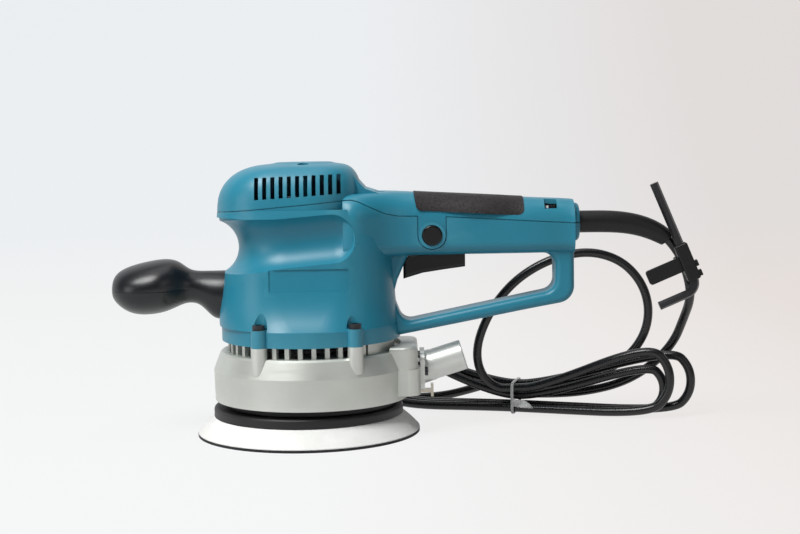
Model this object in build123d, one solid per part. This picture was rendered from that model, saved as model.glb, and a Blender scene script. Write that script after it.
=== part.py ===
from build123d import *
import os
from math import ceil, cos, pi, radians, sin, sqrt, tan

# All sizes are in mm. The machine is modelled about its motor axis and then moved by the orbit
# radius, so that the pad's face is centred on the origin. X runs to the handle, Z runs up.

# Pad
ORBIT_RADIUS = 2.75
PAD_RADIUS = 75.0
PAD_FACE_THICKNESS = 1.6
FOAM_HEIGHT = 11.4
RIM_RADIUS = 63.8
RIM_HEIGHT = 6.4
RIM_WIDTH = 14.0
BACKING_WEB = 4.0
DUST_HOLES = 8
DUST_HOLE_RADIUS = 4.0
DUST_HOLE_CIRCLE = 46.0
PAD_CENTRE_HOLE = 9.0
PAD_BOLT_RADIUS = 3.0
PAD_BOLT_LENGTH = 16.0
PAD_BOLT_HEAD_RADIUS = 5.0
PAD_BOLT_HEAD_HEIGHT = 5.0
PAD_WASHER_THICKNESS = 1.6
PAD_WASHER_RADIUS = 8.0
SPINDLE_FLANGE_RADIUS = 16.0
SPINDLE_FLANGE_HEIGHT = 3.5
PAD_BEARING_BORE = 6.0
PAD_BEARING_RADIUS = 14.0
PAD_BEARING_HEIGHT = 16.0

# Fits
RUNNING_FIT = 0.05
SLIDE_GAP = 0.3
FREE_GAP = 0.6

# Base casting
BASE_RADIUS = 65.4
BASE_WALL = 3.5
BASE_WALL_HEIGHT = 20.3
BASE_GAP = 5.0
SHOULDER_HEIGHT = 12.3
SHOULDER_INSET = 4.4
DECK_THICKNESS = 4.0
SEAL_RADIUS = 57.2
SEAL_WIDTH = 4.7
SEAL_ROOT = 1.6
LIP_THICKNESS = 3.0
VENT_RING_RADIUS = 56.0
VENT_RIB_DEPTH = 3.5
VENT_RIB_WIDTH = 3.0
VENT_HEIGHT = 7.5
VENT_RIBS = 40
VENT_CLOSED_ANGLE = 46.0
PILLAR_X = 31.0
PILLAR_Y = 52.0
PILLAR_RADIUS = 5.1
BASE_SCREW_RADIUS = 2.2
BASE_SCREW_HEAD_RADIUS = 4.1
BASE_SCREW_HEAD_HEIGHT = 3.4
BASE_SCREW_DEPTH = 12.0
LOWER_BEARING_RADIUS = 17.5
LOWER_BEARING_HEIGHT = 11.0
BEARING_LIP = 3.5
BEARING_LIP_THICKNESS = 2.5
HUB_WALL = 4.0
RETAINER_RADIUS = 26.0
RETAINER_THICKNESS = 2.0
RETAINER_SCREWS = 3
RETAINER_SCREW_RADIUS = 1.6

# Dust duct, nozzle and mode lever
DUCT_REACH = 73.0
DUCT_HALF_WIDTH = 31.0
DUCT_BOTTOM = 27.6
DUCT_TOP = 60.0
DUCT_STEP = 1.5
DUCT_WALL = 3.5
NOZZLE_RADIUS = 10.25
NOZZLE_WALL = 1.8
NOZZLE_LENGTH = 31.0
NOZZLE_STOP = 9.0
NOZZLE_STOP_STEP = 0.35
NOZZLE_TILT = 17.0
NOZZLE_Z = 41.5
NOZZLE_PLATE = 3.0
NOZZLE_PLATE_HALF_WIDTH = 17.0
NOZZLE_PLATE_HEIGHT = 25.0
NOZZLE_SCREW_Y = 13.5
NOZZLE_SCREW_RADIUS = 1.6
LEVER_PIVOT_X = 70.6
LEVER_REACH = 11.3
LEVER_WIDTH = 8.0
LEVER_THICKNESS = 1.8
LEVER_TAB_HEIGHT = 8.2
LEVER_SCREW_RADIUS = 1.5

# Motor
SHAFT_LOW_RADIUS = 7.5
SHAFT_MID_RADIUS = 6.0
SHAFT_TOP_RADIUS = 4.0
FAN_RADIUS = 46.0
FAN_DISC = 1.8
FAN_BLADE_HEIGHT = 5.6
FAN_BLADES = 18
STATOR_RADIUS = 34.0
STATOR_YOKE = 4.0
STATOR_LENGTH = 36.0
STATOR_BOTTOM = 76.0
POLE_HALF_ANGLE = 44.0
COIL_HALF_ANGLE = 82.0
COIL_END = 8.0
AIR_GAP = 0.6
ARMATURE_RADIUS = 19.4
WINDING_RADIUS = 17.2
WINDING_END = 8.0
COMMUTATOR_RADIUS = 12.5
COMMUTATOR_LENGTH = 16.0
COMMUTATOR_BOTTOM = 124.0
BRIDGE_BOTTOM = 146.0
BRIDGE_RADIUS = 35.4
BRIDGE_THICKNESS = 4.0
BRIDGE_HUB_WALL = 4.0
UPPER_BEARING_RADIUS = 11.0
UPPER_BEARING_HEIGHT = 7.0
BRUSH_WIDTH = 6.0
BRUSH_HEIGHT = 9.0
BRUSH_LENGTH = 11.0
BRUSH_HOLDER_WALL = 1.6
BRUSH_HOLDER_REACH = 29.5
BALANCE_RADIUS = 40.0
BALANCE_HALF_ANGLE = 70.0
BALANCE_HEIGHT = 11.0

# Housing
HOUSING_WALL = 3.0
FLANGE_RADIUS = 60.0
FLANGE_HEIGHT = 10.0
BARREL_FRONT = 56.0
BARREL_REAR = 56.0
BARREL_HALF_WIDTH = 43.5
BARREL_TOP = 152.0
CAP_BOTTOM = 147.0
CAP_TOP = 182.2
CAP_FRONT = 61.0
CAP_REAR = 36.0
CAP_HALF_WIDTH = 41.0
SCOOP_RADIUS = 18.7
SCOOP_Z = 128.3
SCOOP_FRONT = 66.1
SCOOP_SIDE = 52.7
SCOOP_END = 18.0
SCOOP_TILT = 5.0
HANDLE_END = 177.0
HANDLE_HALF_WIDTH = 19.5
HANDLE_BOTTOM = 119.5
HANDLE_TOP_FRONT = 161.6
HANDLE_TOP_REAR = 154.4
COLLAR_RADIUS = 12.8
COLLAR_END = 181.0
COLLAR_Z = 139.1
LOOP_HALF_WIDTH = 13.5
LOOP_EDGE = 4.0
LOOP_HOLE_REAR = 164.0
LOOP_CORNER = 8.5
SEAM_GAP = 0.6
SEAM_DEPTH = 1.0
PLAQUE_DEPTH = 0.7
PLAQUE_CORNER = 1.2
VENT_SLOTS = 11
VENT_SLOT_PITCH = 5.32
VENT_SLOT_WIDTH = 2.7
VENT_SLOT_FIRST_X = -31.6
VENT_SLOT_BOTTOM = 159.1
VENT_SLOT_TOP = 173.4
VENT_SLOT_RISE = 0.3
INLAY_DEPTH = 1.6
INLAY_PROUD = 0.5
INLAY_CORNER = 14.5
INLAY_LOFT_HEIGHT = 32.0
INLAY_BOTTOM_FRONT = 149.7
INLAY_BOTTOM_REAR = 145.0
INLAY_FRONT = 67.2
INLAY_REAR = 143.2
INLAY_SLANT = 5.0
INLAY_ROUND = 4.0
INLAY_STATIONS = ((65.0, 22.8), (69.0, 22.0), (77.0, 20.6), (88.0, 20.0), (130.0, 19.6), (145.0, 19.5))
STATOR_RIB = 5.0
STATOR_RIB_STEP = 3.0
RIB_BOTTOM_RISE = 14.0
BAFFLE_THICKNESS = 2.0
BAFFLE_RADIUS = 52.0
BAFFLE_BORE = 31.5
COVER_SCREW_RADIUS = 1.9
COVER_SCREW_HEAD = 3.4
COVER_SCREW_HEAD_HEIGHT = 2.4
COVER_BOSS_RADIUS = 5.2
CAP_SCREW_X = -2.0
CAP_SCREW_Y = 18.0
CAP_SCREW_SEAT = 172.0
CAP_POST_TOP = 160.0
CAP_RIB = 2.4
CAP_RIB_REAR = 28.0
HANDLE_SCREWS_X = (48.0, 128.0)
HANDLE_SCREW_SINK = 6.0
HANDLE_SCREW_LENGTH = 20.0

# Controls
TRIGGER_FRONT = 62.8
TRIGGER_REAR = 104.2
TRIGGER_HALF_WIDTH = 9.0
TRIGGER_PIN_X = 99.0
TRIGGER_PIN_Z = 123.5
TRIGGER_PIN_RADIUS = 1.5
BUTTON_X = 82.2
BUTTON_Z = 133.0
BUTTON_RADIUS = 6.7
BUTTON_PROUD = 2.4
BUTTON_TAB_RADIUS = 9.7
BUTTON_FLANGE = 1.2
SWITCH_FRONT = 64.0
SWITCH_REAR = 93.5
SWITCH_BOTTOM = 128.0
SWITCH_HEIGHT = 15.0
SWITCH_HALF_WIDTH = 11.5
SWITCH_RAIL = 1.8
DIAL_X = 161.2
DIAL_RADIUS = 11.5
DIAL_BOTTOM = 147.0
DIAL_HEIGHT = 4.2
DIAL_SHAFT_RADIUS = 3.0
DIAL_NOTCHES = 36
CONTROLLER_FRONT = 135.0
CONTROLLER_REAR = 152.0
CONTROLLER_HEIGHT = 16.0
CONTROLLER_HALF_WIDTH = 9.0
BOARD_TOP = 145.0
BOARD_THICKNESS = 1.6
CLAMP_X = 157.0
CLAMP_LENGTH = 8.0
CLAMP_HALF_WIDTH = 12.0
CLAMP_SCREW_Y = 8.8
CLAMP_SCREW_RADIUS = 1.5

# Front grip
GRIP_Z = 99.5
GRIP_STUD_RADIUS = 4.0
GRIP_STUD_INNER = 42.0
GRIP_STUD_OUTER = 84.0
GRIP_NUT_RADIUS = 7.5
GRIP_NUT_THICKNESS = 6.5
GRIP_PARTING = 0.6

# Cord and what is on it
CORD_DIAMETER = 6.2
CORD_STEP = 7.0
HANK_TIE_X = 144.5
HANK_TIE_Y = 56.0
HANK_TURN = -15.1
HANK_RIGHT_LOBES = ((123.0, 47.0), (105.0, 37.0), (110.0, 51.4))
HANK_LEFT_LOBES = ((100.0, 45.0), (97.0, 43.0), (101.0, 46.0))
GUARD_RADIUS = 7.4
GUARD_END_X = 240.75
GUARD_END_Z = 126.3
GUARD_END_TILT = 46.0
GUARD_END_RADIUS = 5.6
GUARD_ROOT_RADIUS = 8.0
GUARD_FLANGE_RADIUS = 10.0
TIE_WIDTH = 5.0
TIE_THICKNESS = 1.1
KEY_FLATS = 5.0
KEY_LONG = 77.5
KEY_SHORT = 28.5
KEY_BEND = 8.0
KEY_Y = -6.8
KEY_TIP_X = 233.5
KEY_TIP_Z = 164.2
KEY_CORNER_X = 263.3
KEY_CORNER_Z = 92.7
HOLDER_ALONG = 20.0
HOLDER_LENGTH = 26.0
HOLDER_WIDTH = 9.0
HOLDER_DEPTH = 8.4
HOLDER_ON_CORD = 7.6
HOLDER_RING_LENGTH = 6.0
HOLDER_TAB_WIDTH = 10.0
HOLDER_TAB_LENGTH = 25.0
HOLDER_TAB_THICKNESS = 2.6
PLUG_X = 14.0
PLUG_Y = 107.5
PLUG_LENGTH = 46.0
PLUG_WIDTH = 36.0
PLUG_THICKNESS = 24.0
PLUG_PIN_RADIUS = 2.4
PLUG_PIN_LENGTH = 19.0
PLUG_PIN_SPACING = 19.0

# Heights that follow from the sizes above
FOAM_TOP = PAD_FACE_THICKNESS + FOAM_HEIGHT
WEB_TOP = FOAM_TOP + BACKING_WEB
RIM_TOP = FOAM_TOP + RIM_HEIGHT
BASE_BOTTOM = RIM_TOP + BASE_GAP
RIDGE_Z = BASE_BOTTOM + BASE_WALL_HEIGHT
DECK_TOP = RIDGE_Z + SHOULDER_HEIGHT
HOUSING_BOTTOM = DECK_TOP + VENT_HEIGHT
FLANGE_TOP = HOUSING_BOTTOM + FLANGE_HEIGHT
SPINDLE_SEAT = WEB_TOP + SPINDLE_FLANGE_HEIGHT
PAD_BEARING_BOTTOM = SPINDLE_SEAT + SLIDE_GAP
PAD_BEARING_TOP = PAD_BEARING_BOTTOM + PAD_BEARING_HEIGHT
LOWER_BEARING_BOTTOM = DECK_TOP - LOWER_BEARING_HEIGHT
STATOR_TOP = STATOR_BOTTOM + STATOR_LENGTH
BRIDGE_TOP = BRIDGE_BOTTOM + BRIDGE_THICKNESS
UPPER_BEARING_BOTTOM = BRIDGE_TOP + 2.0
UPPER_BEARING_TOP = UPPER_BEARING_BOTTOM + UPPER_BEARING_HEIGHT
FAN_BOTTOM = DECK_TOP + RETAINER_THICKNESS + FREE_GAP
SWITCH_TOP = SWITCH_BOTTOM + SWITCH_HEIGHT
CORD_RADIUS = CORD_DIAMETER / 2

MACHINE = Pos(ORBIT_RADIUS, 0, 0)
PAD_AXIS = Pos(-ORBIT_RADIUS, 0, 0)


# Small helpers


def cut_all(body, cutters):
    """Return a body with each cutter taken out in turn."""
    for cutter in cutters:
        body = body - cutter
    return body


def ring(outer, inner, bottom, top):
    """Return a plain ring about the Z axis between two heights."""
    height = top - bottom
    body = Pos(0, 0, (top + bottom) / 2) * Cylinder(outer, height)
    return body - Pos(0, 0, (top + bottom) / 2) * Cylinder(inner, height + 2)


def disc(radius, bottom, top):
    """Return a plain disc about the Z axis between two heights."""
    return Pos(0, 0, (top + bottom) / 2) * Cylinder(radius, top - bottom)


def block(x0, x1, y0, y1, z0, z1):
    """Return a box between two corners."""
    return Pos((x0 + x1) / 2, (y0 + y1) / 2, (z0 + z1) / 2) * Box(x1 - x0, y1 - y0, z1 - z0)


def rod_y(x, z, radius, y0, y1):
    """Return a cylinder along Y."""
    return Pos(x, (y0 + y1) / 2, z) * Rot(90, 0, 0) * Cylinder(radius, y1 - y0)


def rod_x(y, z, radius, x0, x1):
    """Return a cylinder along X."""
    return Pos((x0 + x1) / 2, y, z) * Rot(0, 90, 0) * Cylinder(radius, x1 - x0)


def rod_z(x, y, radius, bottom, top):
    """Return a cylinder along Z."""
    return Pos(x, y, 0) * disc(radius, bottom, top)


def side_prism(points, y0, y1):
    """Return an outline of X, Z points drawn out along Y."""
    face = make_face(Polyline(*points, close=True))
    return extrude(Plane.XZ.offset(-y1) * face, amount=y1 - y0)


def sector(outer, inner, half_angle, bottom, top):
    """Return a ring sector centred on +X."""
    reach = 2 * outer / cos(radians(half_angle / 2))
    edge = radians(half_angle)
    mid = radians(half_angle / 2)
    points = [(0, 0)]
    for angle in (-edge, -mid, 0, mid, edge):
        points.append((reach * cos(angle), reach * sin(angle)))
    wedge = extrude(Pos(0, 0, bottom) * make_face(Polyline(*points, close=True)), amount=top - bottom)
    return ring(outer, inner, bottom, top) & wedge


def around(count, radius, start=0.0):
    """Return places evenly spaced on a circle about the Z axis."""
    return [Rot(0, 0, start + 360 * i / count) * Pos(radius, 0, 0) for i in range(count)]


def socket_screw(radius, length, head_radius, head_height):
    """Return a socket head screw, its head's underside at the origin and its shank down."""
    head = disc(head_radius, 0, head_height)
    socket = Pos(0, 0, head_height / 2) * extrude(RegularPolygon(head_radius * 0.55, 6), head_height)
    return head + disc(radius, -length, 0) - socket


# Pad


def dust_holes(bottom, top):
    """Return the cutters for the pad's dust holes and its centre hole."""
    cutters = disc(PAD_CENTRE_HOLE, bottom, top)
    for place in around(DUST_HOLES, DUST_HOLE_CIRCLE, 180 / DUST_HOLES):
        cutters += place * disc(DUST_HOLE_RADIUS, bottom, top)
    return cutters


def pad_face():
    """Return the thin hook face that takes the abrasive disc."""
    return disc(PAD_RADIUS, 0, PAD_FACE_THICKNESS) - dust_holes(-1, PAD_FACE_THICKNESS + 1)


def pad_foam():
    """Return the foam cone between the hook face and the backing."""
    foam = Pos(0, 0, PAD_FACE_THICKNESS + FOAM_HEIGHT / 2) * Cone(PAD_RADIUS, RIM_RADIUS, FOAM_HEIGHT)
    return foam - dust_holes(PAD_FACE_THICKNESS - 1, FOAM_TOP + 1)


def pad_backing():
    """Return the hard backing: a web with a raised rim."""
    body = disc(RIM_RADIUS, FOAM_TOP, RIM_TOP)
    body = fillet(body.edges().group_by(Axis.Z)[-1], RIM_HEIGHT * 0.3)
    body -= disc(RIM_RADIUS - RIM_WIDTH, WEB_TOP, RIM_TOP + 1)
    for place in around(DUST_HOLES, DUST_HOLE_CIRCLE, 180 / DUST_HOLES):
        body -= place * disc(DUST_HOLE_RADIUS, FOAM_TOP - 1, WEB_TOP + 1)
    return body - disc(PAD_BOLT_RADIUS + SLIDE_GAP, FOAM_TOP - 1, WEB_TOP + 1)


def pad_spindle():
    """Return the spindle that carries the pad, threaded for its bolt."""
    body = disc(SPINDLE_FLANGE_RADIUS, WEB_TOP, SPINDLE_SEAT)
    body += disc(PAD_BEARING_BORE - RUNNING_FIT, SPINDLE_SEAT, PAD_BEARING_TOP - FREE_GAP)
    return body - disc(PAD_BOLT_RADIUS, WEB_TOP - 1, FOAM_TOP + PAD_BOLT_LENGTH)


def pad_washer():
    """Return the washer under the pad bolt's head."""
    return ring(PAD_WASHER_RADIUS, PAD_BOLT_RADIUS + SLIDE_GAP, FOAM_TOP - PAD_WASHER_THICKNESS, FOAM_TOP)


def pad_bolt():
    """Return the socket head bolt that holds the pad on its spindle."""
    seat = FOAM_TOP - PAD_WASHER_THICKNESS
    length = PAD_BOLT_LENGTH + PAD_WASHER_THICKNESS
    screw = socket_screw(PAD_BOLT_RADIUS, length, PAD_BOLT_HEAD_RADIUS, PAD_BOLT_HEAD_HEIGHT)
    return Pos(0, 0, seat) * Rot(180, 0, 0) * screw


# Rotor


def motor_shaft():
    """Return the stepped motor shaft."""
    low = disc(SHAFT_LOW_RADIUS, PAD_BEARING_TOP + HUB_WALL / 2, FAN_BOTTOM + FAN_DISC + FAN_BLADE_HEIGHT)
    middle = disc(SHAFT_MID_RADIUS, FAN_BOTTOM, BRIDGE_BOTTOM)
    top = disc(SHAFT_TOP_RADIUS, BRIDGE_BOTTOM - 1, UPPER_BEARING_TOP)
    return low + middle + top


def armature_core():
    """Return the laminated core."""
    return ring(ARMATURE_RADIUS, SHAFT_MID_RADIUS, STATOR_BOTTOM, STATOR_TOP)


def armature_windings():
    """Return the two rounded heads of the winding."""
    heads = []
    for bottom in (STATOR_BOTTOM - WINDING_END, STATOR_TOP):
        head = disc(WINDING_RADIUS, bottom, bottom + WINDING_END)
        outer_end = Axis.Z if bottom == STATOR_TOP else -Axis.Z
        head = fillet(head.edges().sort_by(outer_end)[-1], WINDING_END * 0.4)
        heads.append(head - disc(SHAFT_MID_RADIUS, bottom - 1, bottom + WINDING_END + 1))
    return Compound(children=heads)


def commutator():
    """Return the commutator with its segment grooves."""
    top = COMMUTATOR_BOTTOM + COMMUTATOR_LENGTH
    body = ring(COMMUTATOR_RADIUS, SHAFT_MID_RADIUS, COMMUTATOR_BOTTOM, top)
    for place in around(24, COMMUTATOR_RADIUS):
        body -= place * block(-0.8, 1, -0.25, 0.25, COMMUTATOR_BOTTOM - 1, top + 1)
    return body


def cooling_fan():
    """Return the radial fan that blows through the vent ring."""
    top = FAN_BOTTOM + FAN_DISC + FAN_BLADE_HEIGHT
    body = disc(FAN_RADIUS, FAN_BOTTOM, FAN_BOTTOM + FAN_DISC)
    body += disc(SHAFT_LOW_RADIUS + HUB_WALL, FAN_BOTTOM, top)
    inner = SHAFT_LOW_RADIUS + 3 * HUB_WALL
    for place in around(FAN_BLADES, 0):
        body += place * block(inner, FAN_RADIUS - 1, -0.8, 0.8, FAN_BOTTOM + FAN_DISC / 2, top)
    return body - disc(SHAFT_LOW_RADIUS, FAN_BOTTOM - 1, top + 1)


def eccentric_hub():
    """Return the hub that carries the pad bearing off centre, with its balance weight."""
    bore_wall = PAD_BEARING_RADIUS + ORBIT_RADIUS + HUB_WALL
    body_top = PAD_BEARING_TOP + HUB_WALL
    body = disc(bore_wall, PAD_BEARING_BOTTOM, body_top)
    body += disc(SHAFT_LOW_RADIUS + HUB_WALL, body_top, LOWER_BEARING_BOTTOM - SLIDE_GAP)
    weight = sector(BALANCE_RADIUS, bore_wall - 2, BALANCE_HALF_ANGLE, body_top - BALANCE_HEIGHT, body_top)
    body += weight
    body -= PAD_AXIS * disc(PAD_BEARING_RADIUS, PAD_BEARING_BOTTOM - 1, PAD_BEARING_TOP)
    return body - disc(SHAFT_LOW_RADIUS, PAD_BEARING_TOP + HUB_WALL / 2, LOWER_BEARING_BOTTOM)


def pad_bearing():
    """Return the double row bearing in the hub, with its shield groove."""
    body = ring(PAD_BEARING_RADIUS, PAD_BEARING_BORE, PAD_BEARING_BOTTOM, PAD_BEARING_TOP)
    groove_top = PAD_BEARING_BOTTOM + 0.6
    groove = ring(PAD_BEARING_RADIUS - 2.5, PAD_BEARING_BORE + 2, PAD_BEARING_BOTTOM - 1, groove_top)
    return body - groove


# Base casting


def base_profile():
    """Return the casting's half section as X, Z points."""
    inner = BASE_RADIUS - BASE_WALL
    seal_inner = SEAL_RADIUS - SEAL_WIDTH
    lip_top = BASE_BOTTOM + LIP_THICKNESS
    shoulder = BASE_RADIUS - SHOULDER_INSET
    hub_bottom = LOWER_BEARING_BOTTOM - BEARING_LIP_THICKNESS
    under = DECK_TOP - DECK_THICKNESS
    return [
        (seal_inner, BASE_BOTTOM),
        (BASE_RADIUS, BASE_BOTTOM),
        (BASE_RADIUS + 0.5, RIDGE_Z),
        (shoulder + 0.6, DECK_TOP - 1.2),
        (shoulder - 0.8, DECK_TOP),
        (LOWER_BEARING_RADIUS, DECK_TOP),
        (LOWER_BEARING_RADIUS, LOWER_BEARING_BOTTOM),
        (LOWER_BEARING_RADIUS - BEARING_LIP, LOWER_BEARING_BOTTOM),
        (LOWER_BEARING_RADIUS - BEARING_LIP, hub_bottom),
        (LOWER_BEARING_RADIUS + HUB_WALL, hub_bottom),
        (LOWER_BEARING_RADIUS + HUB_WALL, under),
        (shoulder - BASE_WALL, under),
        (inner, RIDGE_Z - BASE_WALL / 2),
        (inner, lip_top),
        (seal_inner, lip_top),
    ]


def duct_outline(half_width, reach):
    """Return the duct's plan outline, rounded at its outer corners."""
    corner = 9.0
    plan = Rectangle(reach, 2 * half_width)
    plan = fillet(plan.vertices().group_by(Axis.X)[-1], corner)
    return Pos(reach / 2, 0) * plan


def duct_block():
    """Return the duct's outer block in two steps."""
    low = extrude(Pos(0, 0, DUCT_BOTTOM) * duct_outline(DUCT_HALF_WIDTH, DUCT_REACH), RIDGE_Z - DUCT_BOTTOM)
    narrow = duct_outline(DUCT_HALF_WIDTH - DUCT_STEP, DUCT_REACH - DUCT_STEP)
    high = extrude(Pos(0, 0, RIDGE_Z) * narrow, DUCT_TOP - RIDGE_Z)
    high = fillet(high.edges().group_by(Axis.Z)[-1], 2.5)
    return low + high


def nozzle_place(along):
    """Return the place on the nozzle's axis at a distance from the duct's rear face."""
    start = DUCT_REACH
    return Pos(start, 0, NOZZLE_Z) * Rot(0, 90 - NOZZLE_TILT, 0) * Pos(0, 0, along)


def pillar_places():
    """Return the four corner places of the base screws."""
    return [(sx * PILLAR_X, sy * PILLAR_Y) for sx in (-1, 1) for sy in (-1, 1)]


def base_housing():
    """Return the base casting with its vent ribs, pillars, duct and bearing seat."""
    body = revolve(Plane.XZ * make_face(Polyline(*base_profile(), close=True)), Axis.Z)
    clear = BASE_RADIUS - BASE_WALL
    body += duct_block() - disc(clear, DUCT_BOTTOM - 1, DECK_TOP - DECK_THICKNESS / 2) - disc(
        FLANGE_RADIUS + SLIDE_GAP, DECK_TOP - 1, DUCT_TOP + 1
    )
    step = 360 / VENT_RIBS
    rib_inner = vent_inner()
    for i in range(VENT_RIBS):
        angle = (i + 0.5) * step
        turned = min(angle, 360 - angle)
        if turned > VENT_CLOSED_ANGLE:
            half = VENT_RIB_WIDTH / 2
            rib = block(rib_inner, VENT_RING_RADIUS, -half, half, DECK_TOP - 1, HOUSING_BOTTOM)
            body += Rot(0, 0, angle) * rib
    body += sector(VENT_RING_RADIUS, rib_inner, VENT_CLOSED_ANGLE, DECK_TOP - 1, HOUSING_BOTTOM)
    for x, y in pillar_places():
        body += rod_z(x, y, PILLAR_RADIUS, RIDGE_Z + 2, HOUSING_BOTTOM)
        body -= rod_z(x, y, BASE_SCREW_RADIUS, HOUSING_BOTTOM - BASE_SCREW_DEPTH, HOUSING_BOTTOM + 1)
    body -= ring(SEAL_RADIUS - 1, SEAL_RADIUS - SEAL_WIDTH + 1, BASE_BOTTOM - 1, BASE_BOTTOM + SEAL_ROOT)
    inner_width = DUCT_HALF_WIDTH - DUCT_WALL - DUCT_STEP
    cavity_top = DECK_TOP - DECK_THICKNESS
    body -= block(45, DUCT_REACH - DUCT_WALL, -inner_width, inner_width, DUCT_BOTTOM + DUCT_WALL, cavity_top)
    body -= nozzle_place(0) * disc(NOZZLE_RADIUS - NOZZLE_WALL, -14, 10)
    for x, y, _ in nozzle_screw_places():
        body -= rod_x(y, NOZZLE_Z, NOZZLE_SCREW_RADIUS, DUCT_REACH - DUCT_WALL, x + 1)
    body -= rod_z(LEVER_PIVOT_X, 0, LEVER_SCREW_RADIUS, DUCT_BOTTOM - 1, DUCT_BOTTOM + DUCT_WALL)
    for place in around(RETAINER_SCREWS, retainer_screw_circle(), 30):
        body -= place * disc(RETAINER_SCREW_RADIUS, DECK_TOP - DECK_THICKNESS, DECK_TOP + 1)
    return body - disc(LOWER_BEARING_RADIUS, LOWER_BEARING_BOTTOM, DECK_TOP + 1)


def dust_seal():
    """Return the rubber seal ring that closes the gap above the pad."""
    lower = ring(SEAL_RADIUS, SEAL_RADIUS - SEAL_WIDTH, RIM_TOP + FREE_GAP, BASE_BOTTOM)
    root = ring(SEAL_RADIUS - 1, SEAL_RADIUS - SEAL_WIDTH + 1, BASE_BOTTOM - 0.5, BASE_BOTTOM + SEAL_ROOT)
    return lower + root


def retainer_screw_circle():
    """Return the radius on which the retainer's screws stand."""
    return (LOWER_BEARING_RADIUS + RETAINER_RADIUS) / 2


def bearing_retainer():
    """Return the plate that holds the lower bearing in the casting."""
    body = ring(RETAINER_RADIUS, LOWER_BEARING_RADIUS - BEARING_LIP, DECK_TOP, DECK_TOP + RETAINER_THICKNESS)
    for place in around(RETAINER_SCREWS, retainer_screw_circle(), 30):
        hole = Pos(0, 0, DECK_TOP) * (disc(RETAINER_SCREW_RADIUS, -1, 5) + disc(2.6, 0.8, 5))
        body -= place * hole
    return body


def retainer_screws():
    """Return the retainer's flush screws."""
    screws = []
    for place in around(RETAINER_SCREWS, retainer_screw_circle(), 30):
        screw = disc(2.6, 0.8, RETAINER_THICKNESS) + disc(RETAINER_SCREW_RADIUS, -DECK_THICKNESS + 0.5, 0.8)
        screws.append(place * Pos(0, 0, DECK_TOP) * screw)
    return Compound(children=screws)


def bearing(outer, inner, bottom, top):
    """Return a bearing ring with a shield groove in both faces."""
    inset = (outer - inner) * 0.28
    body = ring(outer, inner, bottom, top)
    body -= ring(outer - inset, inner + inset, bottom - 1, bottom + 0.5)
    return body - ring(outer - inset, inner + inset, top - 0.5, top + 1)


def base_screws():
    """Return the four black screws that clamp the housing to the casting."""
    seat = base_screw_seat()
    length = seat - HOUSING_BOTTOM + BASE_SCREW_DEPTH - 1
    screw = socket_screw(BASE_SCREW_RADIUS, length, BASE_SCREW_HEAD_RADIUS, BASE_SCREW_HEAD_HEIGHT)
    return Compound(children=[Pos(x, y, seat) * screw for x, y in pillar_places()])


def base_screw_seat():
    """Return the height on which the base screws' heads sit."""
    return FLANGE_TOP + 1.5


# Dust nozzle and mode lever


def nozzle_screw_places():
    """Return the nozzle screws' seats on the plate."""
    seat = DUCT_REACH + NOZZLE_PLATE
    return [(seat, side * NOZZLE_SCREW_Y, NOZZLE_Z) for side in (-1, 1)]


def dust_nozzle():
    """Return the nozzle tube with its plate against the duct."""
    half = NOZZLE_PLATE_HEIGHT / 2
    plate = block(
        DUCT_REACH, DUCT_REACH + NOZZLE_PLATE, -NOZZLE_PLATE_HALF_WIDTH, NOZZLE_PLATE_HALF_WIDTH,
        NOZZLE_Z - half, NOZZLE_Z + half,
    )
    plate = fillet(plate.edges().filter_by(Axis.X), 5)
    tube = nozzle_place(0) * disc(NOZZLE_RADIUS, 0, NOZZLE_LENGTH)
    tube = chamfer(tube.edges().sort_by(Axis.X)[-1], 0.6)
    tube += nozzle_place(0) * disc(NOZZLE_RADIUS + NOZZLE_STOP_STEP, 0, NOZZLE_STOP)
    tube = tube - block(0, DUCT_REACH, -30, 30, 0, 90)
    body = plate + tube - nozzle_place(0) * disc(NOZZLE_RADIUS - NOZZLE_WALL, -20, NOZZLE_LENGTH + 5)
    for x, y, z in nozzle_screw_places():
        body -= rod_x(y, z, NOZZLE_SCREW_RADIUS, DUCT_REACH - 1, x + 1)
    return body


def nozzle_screws():
    """Return the two screws of the nozzle plate."""
    screw = socket_screw(NOZZLE_SCREW_RADIUS, NOZZLE_PLATE + DUCT_WALL - 0.5, 2.9, 2.2)
    return Compound(children=[Pos(*place) * Rot(0, 90, 0) * screw for place in nozzle_screw_places()])


def lever_bottom():
    """Return the lever plate's underside."""
    return DUCT_BOTTOM - SLIDE_GAP - LEVER_THICKNESS


def mode_lever():
    """Return the plated lever under the duct, with its upturned tab."""
    bottom = lever_bottom()
    top = bottom + LEVER_THICKNESS
    end = LEVER_PIVOT_X + LEVER_REACH
    plate = rod_z(LEVER_PIVOT_X, 0, LEVER_WIDTH / 2, bottom, top)
    plate += block(LEVER_PIVOT_X, end, -LEVER_WIDTH / 2, LEVER_WIDTH / 2, bottom, top)
    tab_bottom = bottom - LEVER_TAB_HEIGHT * 0.35
    plate += block(
        end - LEVER_THICKNESS,
        end,
        -LEVER_WIDTH / 2,
        LEVER_WIDTH / 2,
        tab_bottom,
        tab_bottom + LEVER_TAB_HEIGHT,
    )
    return plate - rod_z(LEVER_PIVOT_X, 0, LEVER_SCREW_RADIUS + RUNNING_FIT, bottom - 1, top + 1)


def lever_screw():
    """Return the shouldered screw on which the lever swings."""
    screw = socket_screw(LEVER_SCREW_RADIUS, LEVER_THICKNESS + 2 * SLIDE_GAP + DUCT_WALL - 0.5, 2.8, 1.8)
    return Pos(LEVER_PIVOT_X, 0, lever_bottom() - SLIDE_GAP) * Rot(180, 0, 0) * screw


# Motor, fixed pieces


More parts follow.
